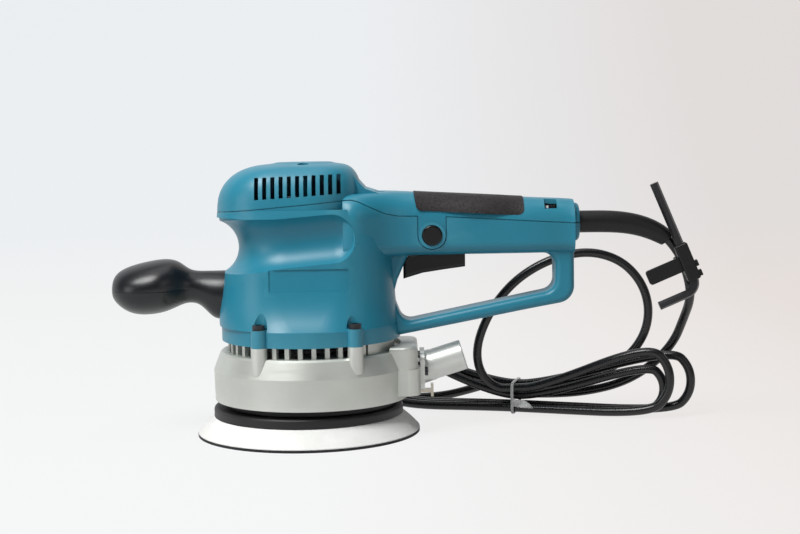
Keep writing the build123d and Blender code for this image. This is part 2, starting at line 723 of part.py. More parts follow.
def pole_piece(bottom, top):
    """Return one pole piece, on the +X side."""
    inner = ARMATURE_RADIUS + AIR_GAP
    return sector(STATOR_RADIUS - STATOR_YOKE + 0.5, inner, POLE_HALF_ANGLE, bottom, top)


def stator_core():
    """Return the field laminations: a yoke with two poles."""
    body = ring(STATOR_RADIUS, STATOR_RADIUS - STATOR_YOKE, STATOR_BOTTOM, STATOR_TOP)
    for turn in (0, 180):
        body += Rot(0, 0, turn) * pole_piece(STATOR_BOTTOM, STATOR_TOP)
    return body


def field_coils():
    """Return the two field coils, each a loop about its pole."""
    outer = STATOR_RADIUS - STATOR_YOKE
    inner = ARMATURE_RADIUS + 2 * AIR_GAP
    bottom = STATOR_BOTTOM - COIL_END / 2
    coil = sector(outer, inner, COIL_HALF_ANGLE, bottom, STATOR_TOP + COIL_END)
    coil -= pole_piece(STATOR_BOTTOM, STATOR_TOP)
    return Compound(children=[Rot(0, 0, turn) * coil for turn in (0, 180)])


def brush_bridge():
    """Return the moulded bridge that carries the brushes and the upper bearing."""
    hub_radius = UPPER_BEARING_RADIUS + BRIDGE_HUB_WALL
    body = disc(BRIDGE_RADIUS, BRIDGE_BOTTOM, BRIDGE_TOP) + disc(hub_radius, BRIDGE_BOTTOM, UPPER_BEARING_TOP)
    for place in around(4, (hub_radius + BRIDGE_RADIUS) / 2, 45):
        body -= place * disc((BRIDGE_RADIUS - hub_radius) / 2 - 3, BRIDGE_BOTTOM - 1, BRIDGE_TOP + 1)
    for x, y in cap_screw_places():
        body += rod_z(x, y, COVER_BOSS_RADIUS, BRIDGE_BOTTOM, CAP_POST_TOP)
        body -= rod_z(x, y, COVER_SCREW_RADIUS, BRIDGE_TOP, CAP_POST_TOP + 1)
    body -= disc(UPPER_BEARING_RADIUS, UPPER_BEARING_BOTTOM, UPPER_BEARING_TOP + 1)
    return body - disc(SHAFT_MID_RADIUS + FREE_GAP, BRIDGE_BOTTOM - 1, UPPER_BEARING_TOP)


def brush_middle():
    """Return the height of the brushes' centre line."""
    return COMMUTATOR_BOTTOM + COMMUTATOR_LENGTH / 2


def brush_channel(reach):
    """Return a brush-sized bar along +Y from the commutator out to a reach."""
    half = BRUSH_HEIGHT / 2
    start = COMMUTATOR_RADIUS + RUNNING_FIT
    middle = brush_middle()
    return block(-BRUSH_WIDTH / 2, BRUSH_WIDTH / 2, start, reach, middle - half, middle + half)


def brush_holders():
    """Return the two brass holders that hang from the bridge."""
    wall = BRUSH_HOLDER_WALL
    bottom = brush_middle() - BRUSH_HEIGHT / 2 - wall
    half = BRUSH_WIDTH / 2 + wall
    holder = block(-half, half, COMMUTATOR_RADIUS + 2, BRUSH_HOLDER_REACH, bottom, BRIDGE_BOTTOM)
    holder -= brush_channel(BRUSH_HOLDER_REACH - wall)
    return Compound(children=[Rot(0, 0, turn) * holder for turn in (0, 180)])


def carbon_brushes():
    """Return the two brushes."""
    brush = brush_channel(COMMUTATOR_RADIUS + BRUSH_LENGTH)
    return Compound(children=[Rot(0, 0, turn) * brush for turn in (0, 180)])


def brush_springs():
    """Return the two springs behind the brushes, as plain tubes."""
    start = COMMUTATOR_RADIUS + BRUSH_LENGTH
    end = BRUSH_HOLDER_REACH - BRUSH_HOLDER_WALL
    radius = BRUSH_WIDTH / 2 - SLIDE_GAP
    spring = rod_y(0, brush_middle(), radius, start, end)
    spring -= rod_y(0, brush_middle(), radius - 0.8, start - 1, end + 1)
    return Compound(children=[Rot(0, 0, turn) * spring for turn in (0, 180)])


# Housing shapes, each drawn in from the outer skin by an inset


def plan_section(z, front, rear, half_width, corner, inset):
    """Return a rounded plan section of the housing at a height."""
    length = rear + front - 2 * inset
    section = RectangleRounded(length, 2 * (half_width - inset), corner - inset)
    return Pos((rear - front) / 2, 0, z) * section


def barrel(inset, bottom):
    """Return the motor barrel from a height up, with the flange below it."""
    wide = FLANGE_RADIUS
    narrow = BARREL_HALF_WIDTH
    sections = [
        plan_section(FLANGE_TOP, wide + 1.0, wide - 1.0, wide - 3.0, wide - 6.0, inset),
        plan_section(FLANGE_TOP + 10, wide + 0.4, BARREL_REAR + 1.8, narrow + 6.0, narrow + 1.0, inset),
        plan_section(FLANGE_TOP + 26, BARREL_FRONT + 1.6, BARREL_REAR + 0.6, narrow + 1, narrow - 5.5, inset),
        plan_section(SCOOP_Z - 10, BARREL_FRONT, BARREL_REAR, narrow, narrow - 6.5, inset),
        plan_section(BARREL_TOP, CAP_FRONT - 0.6, BARREL_REAR - 8, narrow - 2.0, narrow - 7.5, inset),
    ]
    return loft(sections) + disc(FLANGE_RADIUS - inset, bottom, FLANGE_TOP)


def cap(inset):
    """Return the domed cap above the barrel."""
    wide = CAP_HALF_WIDTH
    steps = [
        (CAP_BOTTOM, CAP_FRONT, CAP_REAR, wide, 35.0),
        (CAP_BOTTOM + 13, CAP_FRONT - 1.6, CAP_REAR, wide - 0.8, 34.0),
        (CAP_BOTTOM + 22, CAP_FRONT - 6.0, CAP_REAR - 1.5, wide - 3.0, 31.0),
        (CAP_BOTTOM + 29, CAP_FRONT - 14.0, CAP_REAR - 5.0, wide - 7.5, 27.0),
        (CAP_TOP - 2.0, CAP_FRONT - 26.0, CAP_REAR - 11.0, wide - 15.5, 21.0),
        (CAP_TOP, CAP_FRONT - 40.0, CAP_REAR - 20.0, wide - 27.0, 13.0),
    ]
    sections = []
    for z, front, rear, half_width, corner in steps:
        sections.append(plan_section(z, front, rear, half_width, corner, inset))
    return Pos(0, 0, -inset) * loft(sections)


def handle_section(x, half_width, bottom, top, inset):
    """Return the handle's cross section at a distance along X."""
    height = top - bottom - 2 * inset
    section = Rectangle(2 * (half_width - inset), height)
    section = fillet(section.vertices().group_by(Axis.Y)[-1], 15.5 - inset)
    section = fillet(section.vertices().group_by(Axis.Y)[0], 8.0 - inset)
    plane = Plane(origin=(x, 0, (top + bottom) / 2), x_dir=(0, 1, 0), z_dir=(1, 0, 0))
    return plane * section


def handle_top(x):
    """Return the height of the handle's top line."""
    return HANDLE_TOP_FRONT + (HANDLE_TOP_REAR - HANDLE_TOP_FRONT) * (x - 60.0) / (HANDLE_END - 60.0)


def handle_steps(inset):
    """Return the handle's stations along X with their half widths, from the barrel to the rear."""
    wide = HANDLE_HALF_WIDTH
    steps = [(24.0, wide + 18.5), (44.0, wide + 13.0), (62.0, wide + 3.2)]
    steps += [(84.0, wide + 0.4), (106.0, wide + 0.1), (130.0, wide), (154.0, wide - 0.4)]
    return steps + [(HANDLE_END - inset, wide - 1.0)]


def handle_sections(steps, inset):
    """Return the handle's cross sections at stations along X."""
    sections = []
    for x, half_width in steps:
        top = min(handle_top(x), HANDLE_TOP_FRONT)
        sections.append(handle_section(x, half_width, HANDLE_BOTTOM, top, inset))
    return sections


def handle(inset):
    """Return the handle bar, which swells into the barrel at its front."""
    return loft(handle_sections(handle_steps(inset), inset))


def handle_hollow():
    """Return the space inside the handle, straight from station to station."""
    return loft(handle_sections(handle_steps(HOUSING_WALL)[1:], HOUSING_WALL), ruled=True)


def neck():
    """Return the slope from the cap's rear down to the handle's top."""
    half_width = HANDLE_HALF_WIDTH - 1.0
    slope = [
        (CAP_REAR - 24, CAP_TOP - 3.4),
        (CAP_REAR - 9.5, CAP_TOP - 4.6),
        (CAP_REAR - 3.4, CAP_TOP - 11.2),
        (CAP_REAR + 2.5, HANDLE_TOP_FRONT + 2.8),
        (CAP_REAR + 10, HANDLE_TOP_FRONT + 0.3),
        (CAP_REAR + 18, HANDLE_TOP_FRONT - 3),
        (CAP_REAR - 24, HANDLE_TOP_FRONT - 3),
    ]
    body = side_prism(slope, -half_width, half_width)
    return fillet(body.edges().filter_by(Axis.Y).group_by(Axis.Z)[-2], 4.0)


def scoop(radius):
    """Return the finger scoop cut under the cap, round the front and both sides."""
    centre_x = SCOOP_SIDE - SCOOP_FRONT
    near = (SCOOP_END, -SCOOP_SIDE, 0)
    far = (SCOOP_END, SCOOP_SIDE, 0)
    path = Polyline(near, (centre_x, -SCOOP_SIDE, 0)) + ThreePointArc(
        (centre_x, -SCOOP_SIDE, 0), (-SCOOP_FRONT, 0, 0), (centre_x, SCOOP_SIDE, 0)
    )
    path += Polyline((centre_x, SCOOP_SIDE, 0), far)
    section = Plane(origin=near, x_dir=(0, 1, 0), z_dir=(-1, 0, 0)) * Circle(radius)
    body = sweep(section, path=Wire(path.edges()))
    body += Pos(*near) * Sphere(radius)
    body += Pos(*far) * Sphere(radius)
    front = -(SCOOP_FRONT - SCOOP_RADIUS)
    return Pos(front, 0, SCOOP_Z) * Rot(0, -SCOOP_TILT, 0) * Pos(-front, 0, 0) * body


def loop_hole():
    """Return the outline of the D-shaped finger opening."""
    points = [
        (55.7, 92.0), (62.4, 74.5), (LOOP_HOLE_REAR, 94.6), (LOOP_HOLE_REAR, HANDLE_BOTTOM),
        (66.0, HANDLE_BOTTOM), (58.8, 103.0),
    ]
    face = make_face(Polyline(*points, close=True))
    for x, radius in ((55.7, 6.0), (58.8, 6.0), (66.0, 3.5), (62.4, 8.0), (LOOP_HOLE_REAR, LOOP_CORNER)):
        face = fillet(face.vertices().filter_by_position(Axis.X, x - 0.05, x + 0.05), radius)
    return face


def loop():
    """Return the lower arm and rear post that close the D-handle."""
    points = [
        (45.0, HOUSING_BOTTOM + 1.5), (60.0, HOUSING_BOTTOM + 1.5), (102.5, 73.8), (147.0, 82.1),
        (HANDLE_END - 0.2, 87.3), (HANDLE_END - 0.2, 130.0), (45.0, 130.0),
    ]
    face = make_face(Polyline(*points, close=True))
    rear = face.vertices().filter_by_position(Axis.X, 150.0, 200.0)
    face = fillet(rear.filter_by_position(Axis.Y, 0.0, 120.0), LOOP_CORNER + 3.0)
    face -= loop_hole()
    body = extrude(Plane.XZ * face, amount=LOOP_HALF_WIDTH, both=True)
    return fillet(body.edges().filter_by(Plane.XZ), LOOP_EDGE)


def collar():
    """Return the round collar at the handle's rear end."""
    body = rod_x(0, COLLAR_Z, COLLAR_RADIUS, HANDLE_END - 8, COLLAR_END)
    return fillet(body.edges().sort_by(Axis.X)[-1], 2.5)


def skin(inset):
    """Return the main housing mass drawn in by an inset, open at its bottom when inset."""
    bottom = HOUSING_BOTTOM if inset == 0 else HOUSING_BOTTOM - 5
    return barrel(inset, bottom) + cap(inset) + handle(inset)


def seam_line(offset):
    """Return the seam between the housing and the cover as X, Z points."""
    points = [
        (-90.0, 148.0), (29.0, 157.6), (34.0, 156.4), (51.0, 148.0),
        (60.0, 146.0), (92.0, 144.8), (200.0, 137.6),
    ]
    return [(x, z + offset) for x, z in points]


def above_seam(offset):
    """Return everything above the seam, with the cover's tab around the lock button."""
    points = seam_line(offset) + [(200.0, 230.0), (-90.0, 230.0)]
    half = CAP_HALF_WIDTH + 30
    body = side_prism(points, -half, half)
    tab_radius = BUTTON_TAB_RADIUS - offset
    tab_inner = HOUSING_WALL + 2 - HANDLE_HALF_WIDTH
    tab = rod_y(BUTTON_X, BUTTON_Z, tab_radius, -half, tab_inner)
    tab += block(BUTTON_X - tab_radius, BUTTON_X + tab_radius, -half, tab_inner, BUTTON_Z, BUTTON_Z + 30)
    return body + tab


def inlay_loft(grow):
    """Return the handle's top over the length of the inlay, grown outward."""
    sections = []
    for x, half_width in INLAY_STATIONS:
        section = Rectangle(2 * (half_width + grow), INLAY_LOFT_HEIGHT)
        section = fillet(section.vertices().group_by(Axis.Y)[-1], INLAY_CORNER + grow)
        height = handle_top(x) + grow - INLAY_LOFT_HEIGHT / 2
        sections.append(Plane(origin=(x, 0, height), x_dir=(0, 1, 0), z_dir=(1, 0, 0)) * section)
    return loft(sections)


def inlay_band(proud):
    """Return the band that the inlay fills, from its bed to a height above the cover."""
    corners = [
        (INLAY_FRONT, CAP_TOP),
        (INLAY_FRONT + INLAY_SLANT, INLAY_BOTTOM_FRONT),
        (INLAY_REAR, INLAY_BOTTOM_REAR),
        (INLAY_REAR, CAP_TOP),
    ]
    face = make_face(Polyline(*corners, close=True))
    face = fillet(face.vertices().filter_by_position(Axis.Y, 0.0, 155.0), INLAY_ROUND)
    outline = extrude(Plane.XZ * face, amount=HANDLE_HALF_WIDTH * 2, both=True)
    return (inlay_loft(proud) - inlay_loft(-INLAY_DEPTH)) & outline


def handle_inlay():
    """Return the rubber inlay on the handle's top."""
    return cut_all(inlay_band(INLAY_PROUD), cover_screw_holes())


def vent_slots():
    """Return the cutters for the cap's vent slots on both sides."""
    cutters = []
    for i in range(VENT_SLOTS):
        x = VENT_SLOT_FIRST_X + i * VENT_SLOT_PITCH
        low = VENT_SLOT_BOTTOM + i * VENT_SLOT_RISE
        high = VENT_SLOT_TOP + i * VENT_SLOT_RISE / 2
        half = VENT_SLOT_WIDTH / 2
        for side in (-1, 1):
            near = side * CAP_HALF_WIDTH * 0.62
            far = side * (CAP_HALF_WIDTH + 5)
            cutters.append(block(x - half, x + half, min(near, far), max(near, far), low, high))
    return cutters


def cap_screw_places():
    """Return the plan places of the two screws in the cap's top."""
    return [(CAP_SCREW_X, side * CAP_SCREW_Y) for side in (-1, 1)]


def handle_screw_seat(x):
    """Return the height on which a handle screw's head sits."""
    return min(handle_top(x), HANDLE_TOP_FRONT) - HANDLE_SCREW_SINK


def cover_screw_holes():
    """Return the cutters for the cover screws' shanks and sunk heads."""
    sink = COVER_SCREW_HEAD + SLIDE_GAP
    cutters = []
    for x, y in cap_screw_places():
        cutters.append(rod_z(x, y, COVER_SCREW_RADIUS, BRIDGE_TOP, CAP_SCREW_SEAT + 1))
        cutters.append(rod_z(x, y, sink, CAP_SCREW_SEAT, CAP_TOP + 5))
    for x in HANDLE_SCREWS_X:
        seat = handle_screw_seat(x)
        cutters.append(rod_z(x, 0, COVER_SCREW_RADIUS, seat - HANDLE_SCREW_LENGTH, seat + 1))
        cutters.append(rod_z(x, 0, sink, seat, CAP_TOP))
    return cutters


def cover_screws():
    """Return the screws that hold the cover down."""
    cap_length = CAP_SCREW_SEAT - BRIDGE_TOP - 1
    cap_screw = socket_screw(COVER_SCREW_RADIUS, cap_length, COVER_SCREW_HEAD, COVER_SCREW_HEAD_HEIGHT)
    handle_screw = socket_screw(
        COVER_SCREW_RADIUS, HANDLE_SCREW_LENGTH - 1, COVER_SCREW_HEAD, COVER_SCREW_HEAD_HEIGHT
    )
    screws = [Pos(x, y, CAP_SCREW_SEAT) * cap_screw for x, y in cap_screw_places()]
    screws += [Pos(x, 0, handle_screw_seat(x)) * handle_screw for x in HANDLE_SCREWS_X]
    return Compound(children=screws)


def rib_bottom():
    """Return the height at which the stator ribs start, above the fan."""
    return FAN_BOTTOM + RIB_BOTTOM_RISE


def controller_bottom():
    """Return the underside of the speed controller's case."""
    return BOARD_TOP - BOARD_THICKNESS - CONTROLLER_HEIGHT


def inner_bosses():
    """Return the ribs, seats and bosses that stand inside the hollow housing."""
    bosses = [block(CONTROLLER_FRONT + 2, CONTROLLER_REAR - 2, -1.5, 1.5, HANDLE_BOTTOM, controller_bottom())]
    clamp_top = COLLAR_Z - CORD_RADIUS
    bosses.append(
        block(CLAMP_X, CLAMP_X + CLAMP_LENGTH, -CLAMP_HALF_WIDTH, CLAMP_HALF_WIDTH, HANDLE_BOTTOM, clamp_top)
    )
    inner = trigger_slot_half() + SLIDE_GAP
    for side in (-1, 1):
        y0, y1 = sorted((side * inner, side * (inner + SWITCH_RAIL)))
        bosses.append(block(SWITCH_FRONT + 3, SWITCH_REAR, y0, y1, HANDLE_BOTTOM, SWITCH_BOTTOM))
        bosses.append(block(TRIGGER_PIN_X - 4, TRIGGER_PIN_X + 4, y0, y1, HANDLE_BOTTOM, TRIGGER_PIN_Z + 4))
    half = STATOR_RIB / 2
    reach = FLANGE_RADIUS + 5
    for angle in (45, 135, 225, 315):
        rib = block(STATOR_RADIUS, reach, -half, half, rib_bottom(), BRIDGE_BOTTOM)
        rib += block(STATOR_RADIUS - STATOR_RIB_STEP, reach, -half, half, rib_bottom(), STATOR_BOTTOM)
        bosses.append(Rot(0, 0, angle) * rib)
    for x, y in cap_screw_places():
        bosses.append(rod_z(x, y, COVER_BOSS_RADIUS, CAP_POST_TOP, CAP_TOP))
    rib_half = CAP_RIB / 2
    bosses.append(block(-CAP_FRONT, CAP_RIB_REAR, -rib_half, rib_half, UPPER_BEARING_TOP + FREE_GAP, CAP_TOP))
    for x in HANDLE_SCREWS_X:
        bosses.append(rod_z(x, 0, COVER_BOSS_RADIUS, HANDLE_BOTTOM - 8, CAP_TOP))
    for x, y in pillar_places():
        bosses.append(rod_z(x, y, PILLAR_RADIUS + HOUSING_WALL, HOUSING_BOTTOM, FLANGE_TOP + 30))
    bosses.append(ring(FLANGE_RADIUS, vent_inner() - 2, HOUSING_BOTTOM, HOUSING_BOTTOM + HOUSING_WALL))
    seat = grip_nut_seat()
    bosses.append(block(-BARREL_FRONT - 5, -seat, -11, 11, GRIP_Z - 11, GRIP_Z + 11))
    return bosses


def vent_inner():
    """Return the inner radius of the vent ribs."""
    return VENT_RING_RADIUS - VENT_RIB_DEPTH


def trigger_slot_half():
    """Return the half width of the trigger's slot."""
    return TRIGGER_HALF_WIDTH + SLIDE_GAP


def grip_nut_seat():
    """Return how far in front of the axis the grip's nut seats."""
    return BARREL_FRONT - HOUSING_WALL - 1.5


def hollows():
    """Return the hollows inside the barrel, the cap and the handle."""
    liner = scoop(SCOOP_RADIUS + HOUSING_WALL)
    spaces = (barrel(HOUSING_WALL, HOUSING_BOTTOM - 5), cap(HOUSING_WALL), handle_hollow())
    bosses = inner_bosses()
    return [cut_all(space - liner, bosses) for space in spaces]


def housing_cuts():
    """Return the cutters shared by the housing and the cover."""
    cuts = list(cover_screw_holes())
    cuts.append(rod_x(0, COLLAR_Z, GUARD_ROOT_RADIUS, HANDLE_END - 6, COLLAR_END + 5))
    cuts.append(rod_x(0, GRIP_Z, GRIP_STUD_RADIUS, -FLANGE_RADIUS - 5, -grip_nut_seat() + 1))
    slot = trigger_slot_half()
    cuts.append(block(TRIGGER_FRONT - 2.4, TRIGGER_REAR + 0.8, -slot, slot, 100, TRIGGER_PIN_Z + 4))
    pin_half = slot + SLIDE_GAP + SWITCH_RAIL
    cuts.append(rod_y(TRIGGER_PIN_X, TRIGGER_PIN_Z, TRIGGER_PIN_RADIUS, -pin_half, pin_half))
    cuts.append(rod_y(BUTTON_X, BUTTON_Z, BUTTON_RADIUS + SLIDE_GAP / 2, -40, -SWITCH_HALF_WIDTH))
    clamp_middle = CLAMP_X + CLAMP_LENGTH / 2
    for side in (-1, 1):
        cuts.append(rod_z(clamp_middle, side * CLAMP_SCREW_Y, CLAMP_SCREW_RADIUS, COLLAR_Z - 14, COLLAR_Z))
    for x, y in pillar_places():
        cuts.append(rod_z(x, y, BASE_SCREW_RADIUS, HOUSING_BOTTOM - 1, base_screw_seat() + 1))
        cuts.append(rod_z(x, y, PILLAR_RADIUS + 0.4, base_screw_seat(), FLANGE_TOP + 26))
    return cuts


def whole_shell():
    """Return the housing and cover as one hollow shell, before they are parted."""
    finger = scoop(SCOOP_RADIUS)
    outer = (barrel(0, HOUSING_BOTTOM) - finger) + (cap(0) - finger) + handle(0)
    outer = outer + neck() + loop() + collar()
    for x, y in pillar_places():
        outer += rod_z(x, y, PILLAR_RADIUS, HOUSING_BOTTOM, base_screw_seat())
    button_face = HANDLE_HALF_WIDTH + 0.4
    outer += rod_y(BUTTON_X, BUTTON_Z, BUTTON_TAB_RADIUS - 0.8, -button_face - 0.9, -button_face + 2)
    return cut_all(cut_all(outer, hollows()), housing_cuts())


def plaque_zones():
    """Return the two shallow bare plaques on the barrel's sides."""
    zones = []
    for side in (-1, 1):
        y0, y1 = sorted((side * 30.0, side * 60.0))
        zone = block(-24.5, 27.0, y0, y1, 99.3, 113.9)
        zones.append(fillet(zone.edges().filter_by(Axis.Y), PLAQUE_CORNER))
    return zones


def motor_housing(shell):
    """Return the lower housing with the D-handle."""
    body = shell - above_seam(0)
    recess = skin(PLAQUE_DEPTH)
    for zone in plaque_zones():
        body -= zone - recess
    return body


def top_cover(shell):
    """Return the cover: the cap, the handle's top and the tab around the lock button."""
    body = shell & above_seam(0)
    lip = above_seam(0) - above_seam(SEAM_GAP)
    body -= lip - skin(SEAM_DEPTH) - rod_y(BUTTON_X, BUTTON_Z, BUTTON_TAB_RADIUS - 2.0, -40, 0)
    body -= Compound(children=vent_slots())
    body -= inlay_band(2 * INLAY_DEPTH)
    body -= rod_z(DIAL_X, 0, DIAL_RADIUS + SLIDE_GAP, DIAL_BOTTOM - 0.5, DIAL_BOTTOM + DIAL_HEIGHT + 0.5)
    window = block(DIAL_X - 4.15, DIAL_X + 4.15, -30, -3, DIAL_BOTTOM + DIAL_HEIGHT - 2.2, CAP_TOP)
    return body - (window - block(0, 200, -7, 20, DIAL_BOTTOM + DIAL_HEIGHT + 0.5, CAP_TOP))


# Front grip


def grip_body(inset):
    """Return the front grip's knob and neck, drawn in by an inset."""
    steps = [
        (-132.2, 92.5, 105.0, 9.0), (-130.0, 89.5, 109.0, 14.5), (-126.0, 86.0, 112.0, 19.5),
        (-119.0, 82.6, 114.8, 24.0), (-108.0, 81.7, 117.4, 26.0), (-97.0, 83.6, 118.6, 24.5),
        (-88.0, 87.2, 116.4, 18.5), (-80.0, 89.0, 111.4, 13.5), (-74.5, 87.4, 110.4, 13.0),
        (-70.0, 83.4, 110.3, 13.6), (-66.0, 79.6, 110.3, 14.5), (-61.5, 77.8, 110.3, 15.2),
        (-56.0, 77.6, 110.3, 15.4), (-48.0, 77.6, 110.3, 15.5),
    ]
    sections = []
    for x, low, high, half_width in steps:
        plane = Plane(origin=(x, 0, (low + high) / 2), x_dir=(0, 1, 0), z_dir=(1, 0, 0))
        sections.append(plane * Ellipse(half_width - inset, (high - low) / 2 - inset))
    return loft(sections)


def front_grip():
    """Return the front grip, fitted to the housing's front, with its parting groove."""
    body = grip_body(0) - barrel(0, HOUSING_BOTTOM)
    groove = block(-140, -80, -40, 40, GRIP_Z - 0.7 - GRIP_PARTING / 2, GRIP_Z - 0.7 + GRIP_PARTING / 2)
    body -= groove - grip_body(GRIP_PARTING)
    return body - rod_x(0, GRIP_Z, GRIP_STUD_RADIUS, -GRIP_STUD_OUTER, 0)


def grip_stud():
    """Return the stud that holds the front grip."""
    return rod_x(0, GRIP_Z, GRIP_STUD_RADIUS, -GRIP_STUD_OUTER, -GRIP_STUD_INNER)


def grip_nut():
    """Return the nut on the stud inside the housing."""
    seat = grip_nut_seat()
    nut = Rot(0, 90, 0) * extrude(RegularPolygon(GRIP_NUT_RADIUS, 6), GRIP_NUT_THICKNESS)
    nut = Pos(-seat, 0, GRIP_Z) * nut
    return nut - rod_x(0, GRIP_Z, GRIP_STUD_RADIUS, -FLANGE_RADIUS, 0)


def fan_baffle():
    """Return the ring above the fan that steers its air."""
    return ring(BAFFLE_RADIUS, BAFFLE_BORE, rib_bottom() - BAFFLE_THICKNESS, rib_bottom())


# Controls


def trigger():
    """Return the trigger paddle with its pivot ear."""
    points = [
        (TRIGGER_FRONT, 103.2), (TRIGGER_FRONT + 13.0, 107.0), (TRIGGER_FRONT + 27.0, 109.0),
        (TRIGGER_REAR, 110.8), (TRIGGER_REAR, TRIGGER_PIN_Z + 2.5), (TRIGGER_PIN_X - 5, TRIGGER_PIN_Z + 2.5),
        (TRIGGER_PIN_X - 12, 119.6), (TRIGGER_FRONT + 4.0, 118.0), (TRIGGER_FRONT, 114.0),
    ]
    body = side_prism(points, -TRIGGER_HALF_WIDTH, TRIGGER_HALF_WIDTH)
    lower = body.edges().filter_by(Plane.XZ).filter_by_position(Axis.Z, 100.0, 111.5)
    body = fillet(lower, 2.4)
    return body - rod_y(TRIGGER_PIN_X, TRIGGER_PIN_Z, TRIGGER_PIN_RADIUS + RUNNING_FIT, -30, 30)


def trigger_pin():
    """Return the pin on which the trigger swings."""
    half = trigger_slot_half() + SLIDE_GAP + SWITCH_RAIL
    return rod_y(TRIGGER_PIN_X, TRIGGER_PIN_Z, TRIGGER_PIN_RADIUS, -half, half)


def lock_button():
    """Return the round lock button with its inner flange."""
    face = -(HANDLE_HALF_WIDTH + 0.4)
    flange = face + HOUSING_WALL + FREE_GAP + SLIDE_GAP
    back = flange + BUTTON_FLANGE
    body = rod_y(BUTTON_X, BUTTON_Z, BUTTON_RADIUS, face - BUTTON_PROUD, back)
    body = fillet(body.edges().sort_by(Axis.Y)[0], 1.2)
    return body + rod_y(BUTTON_X, BUTTON_Z, BUTTON_RADIUS + 1.2, flange, back)


def switch_body():
    """Return the switch with its two terminals."""
    body = block(
        SWITCH_FRONT, SWITCH_REAR, -SWITCH_HALF_WIDTH, SWITCH_HALF_WIDTH, SWITCH_BOTTOM, SWITCH_TOP
    )
    for side in (-1, 1):
        y = side * SWITCH_HALF_WIDTH / 2
        body += block(SWITCH_REAR - 1, SWITCH_REAR + 6, y - 2, y + 2, SWITCH_TOP - 5, SWITCH_TOP - 4)
    return body


def speed_dial():
    """Return the notched thumb wheel."""
    body = disc(DIAL_RADIUS, DIAL_BOTTOM, DIAL_BOTTOM + DIAL_HEIGHT)
    for place in around(DIAL_NOTCHES, DIAL_RADIUS + 0.35):
        body -= place * disc(0.7, DIAL_BOTTOM - 1, DIAL_BOTTOM + DIAL_HEIGHT + 1)
    body -= disc(DIAL_SHAFT_RADIUS + RUNNING_FIT, DIAL_BOTTOM - 1, DIAL_BOTTOM + DIAL_HEIGHT + 1)
    return Pos(DIAL_X, 0, 0) * body


def speed_controller():
    """Return the speed controller: its case, its board and the dial's shaft."""
    wide = CONTROLLER_HALF_WIDTH
    under = BOARD_TOP - BOARD_THICKNESS
    body = block(CONTROLLER_FRONT, CONTROLLER_REAR, -wide, wide, controller_bottom(), under)
    board = DIAL_SHAFT_RADIUS + 2.5
    body += block(CONTROLLER_FRONT, DIAL_X + board, -board, board, under, BOARD_TOP)
    body += rod_z(DIAL_X, 0, DIAL_SHAFT_RADIUS + 2, BOARD_TOP, DIAL_BOTTOM - SLIDE_GAP)
    return body + rod_z(DIAL_X, 0, DIAL_SHAFT_RADIUS, BOARD_TOP, DIAL_BOTTOM + DIAL_HEIGHT)


def cord_clamp():
    """Return the bar that clamps the cord inside the handle."""
    bottom = COLLAR_Z - CORD_RADIUS + SLIDE_GAP
    body = block(
        CLAMP_X, CLAMP_X + CLAMP_LENGTH, -CLAMP_HALF_WIDTH, CLAMP_HALF_WIDTH, bottom, clamp_top()
    )
    body -= rod_x(0, COLLAR_Z, CORD_RADIUS, CLAMP_X - 1, CLAMP_X + CLAMP_LENGTH + 1)
    for side in (-1, 1):
        middle = CLAMP_X + CLAMP_LENGTH / 2
        body -= rod_z(middle, side * CLAMP_SCREW_Y, CLAMP_SCREW_RADIUS, bottom - 1, COLLAR_Z + 9)
    return body


def clamp_top():
    """Return the top of the clamp bar, under the controller's board."""
    return BOARD_TOP - BOARD_THICKNESS - SLIDE_GAP


def clamp_screws():
    """Return the clamp's two screws."""
    length = clamp_top() - COLLAR_Z + 13
    screw = socket_screw(CLAMP_SCREW_RADIUS, length, 2.6, 1.6)
    places = [Pos(CLAMP_X + CLAMP_LENGTH / 2, side * CLAMP_SCREW_Y, clamp_top()) for side in (-1, 1)]
    return Compound(children=[place * screw for place in places])


# Cord guard and the cord inside the handle


def cord_inner():
    """Return the cord inside the handle, from the clamp to the guard."""
    return rod_x(0, COLLAR_Z, CORD_RADIUS, CLAMP_X - 4, guard_root_start())


def guard_root_start():
    """Return where the guard's inner flange starts."""
    return HANDLE_END - HOUSING_WALL - 1.0


def cord_guard():
    """Return the moulded rubber guard, which droops and tapers to the cord."""
    start = guard_root_start()
    body = rod_x(0, COLLAR_Z, GUARD_FLANGE_RADIUS, start, HANDLE_END - HOUSING_WALL)
    body += rod_x(0, COLLAR_Z, GUARD_ROOT_RADIUS, start, COLLAR_END)
    mid = (GUARD_RADIUS + GUARD_END_RADIUS) / 2
    steps = [
        (COLLAR_END, COLLAR_Z, 0.0, GUARD_RADIUS),
        (COLLAR_END + 14.0, COLLAR_Z - 0.1, 1.0, GUARD_RADIUS),
        (COLLAR_END + 28.0, COLLAR_Z - 0.9, 6.0, GUARD_RADIUS - 0.1),
        (COLLAR_END + 43.0, COLLAR_Z - 4.0, 19.0, GUARD_RADIUS - 0.4),
        (COLLAR_END + 53.0, COLLAR_Z - 8.3, 32.0, mid),
        (GUARD_END_X, GUARD_END_Z, GUARD_END_TILT, GUARD_END_RADIUS),
    ]
    sections = []
    for x, z, tilt, radius in steps:
        heading = (cos(radians(tilt)), 0, -sin(radians(tilt)))
        sections.append(Plane(origin=(x, 0, z), x_dir=(0, 1, 0), z_dir=heading) * Circle(radius))
    return body + loft(sections)


# Free cord, in the part's own frame


def hank_place(u, v, z):
    """Return the point at u along the hank, v behind its middle and z above the floor."""
    turn = radians(HANK_TURN)
    x = HANK_TIE_X + u * cos(turn) - v * sin(turn)
    y = HANK_TIE_Y + u * sin(turn) + v * cos(turn)
    return Vector(x, y, z)


def hank_heading(u, z):
    """Return a heading along the hank and up."""
    turn = radians(HANK_TURN)
    return Vector(u * cos(turn), u * sin(turn), z)


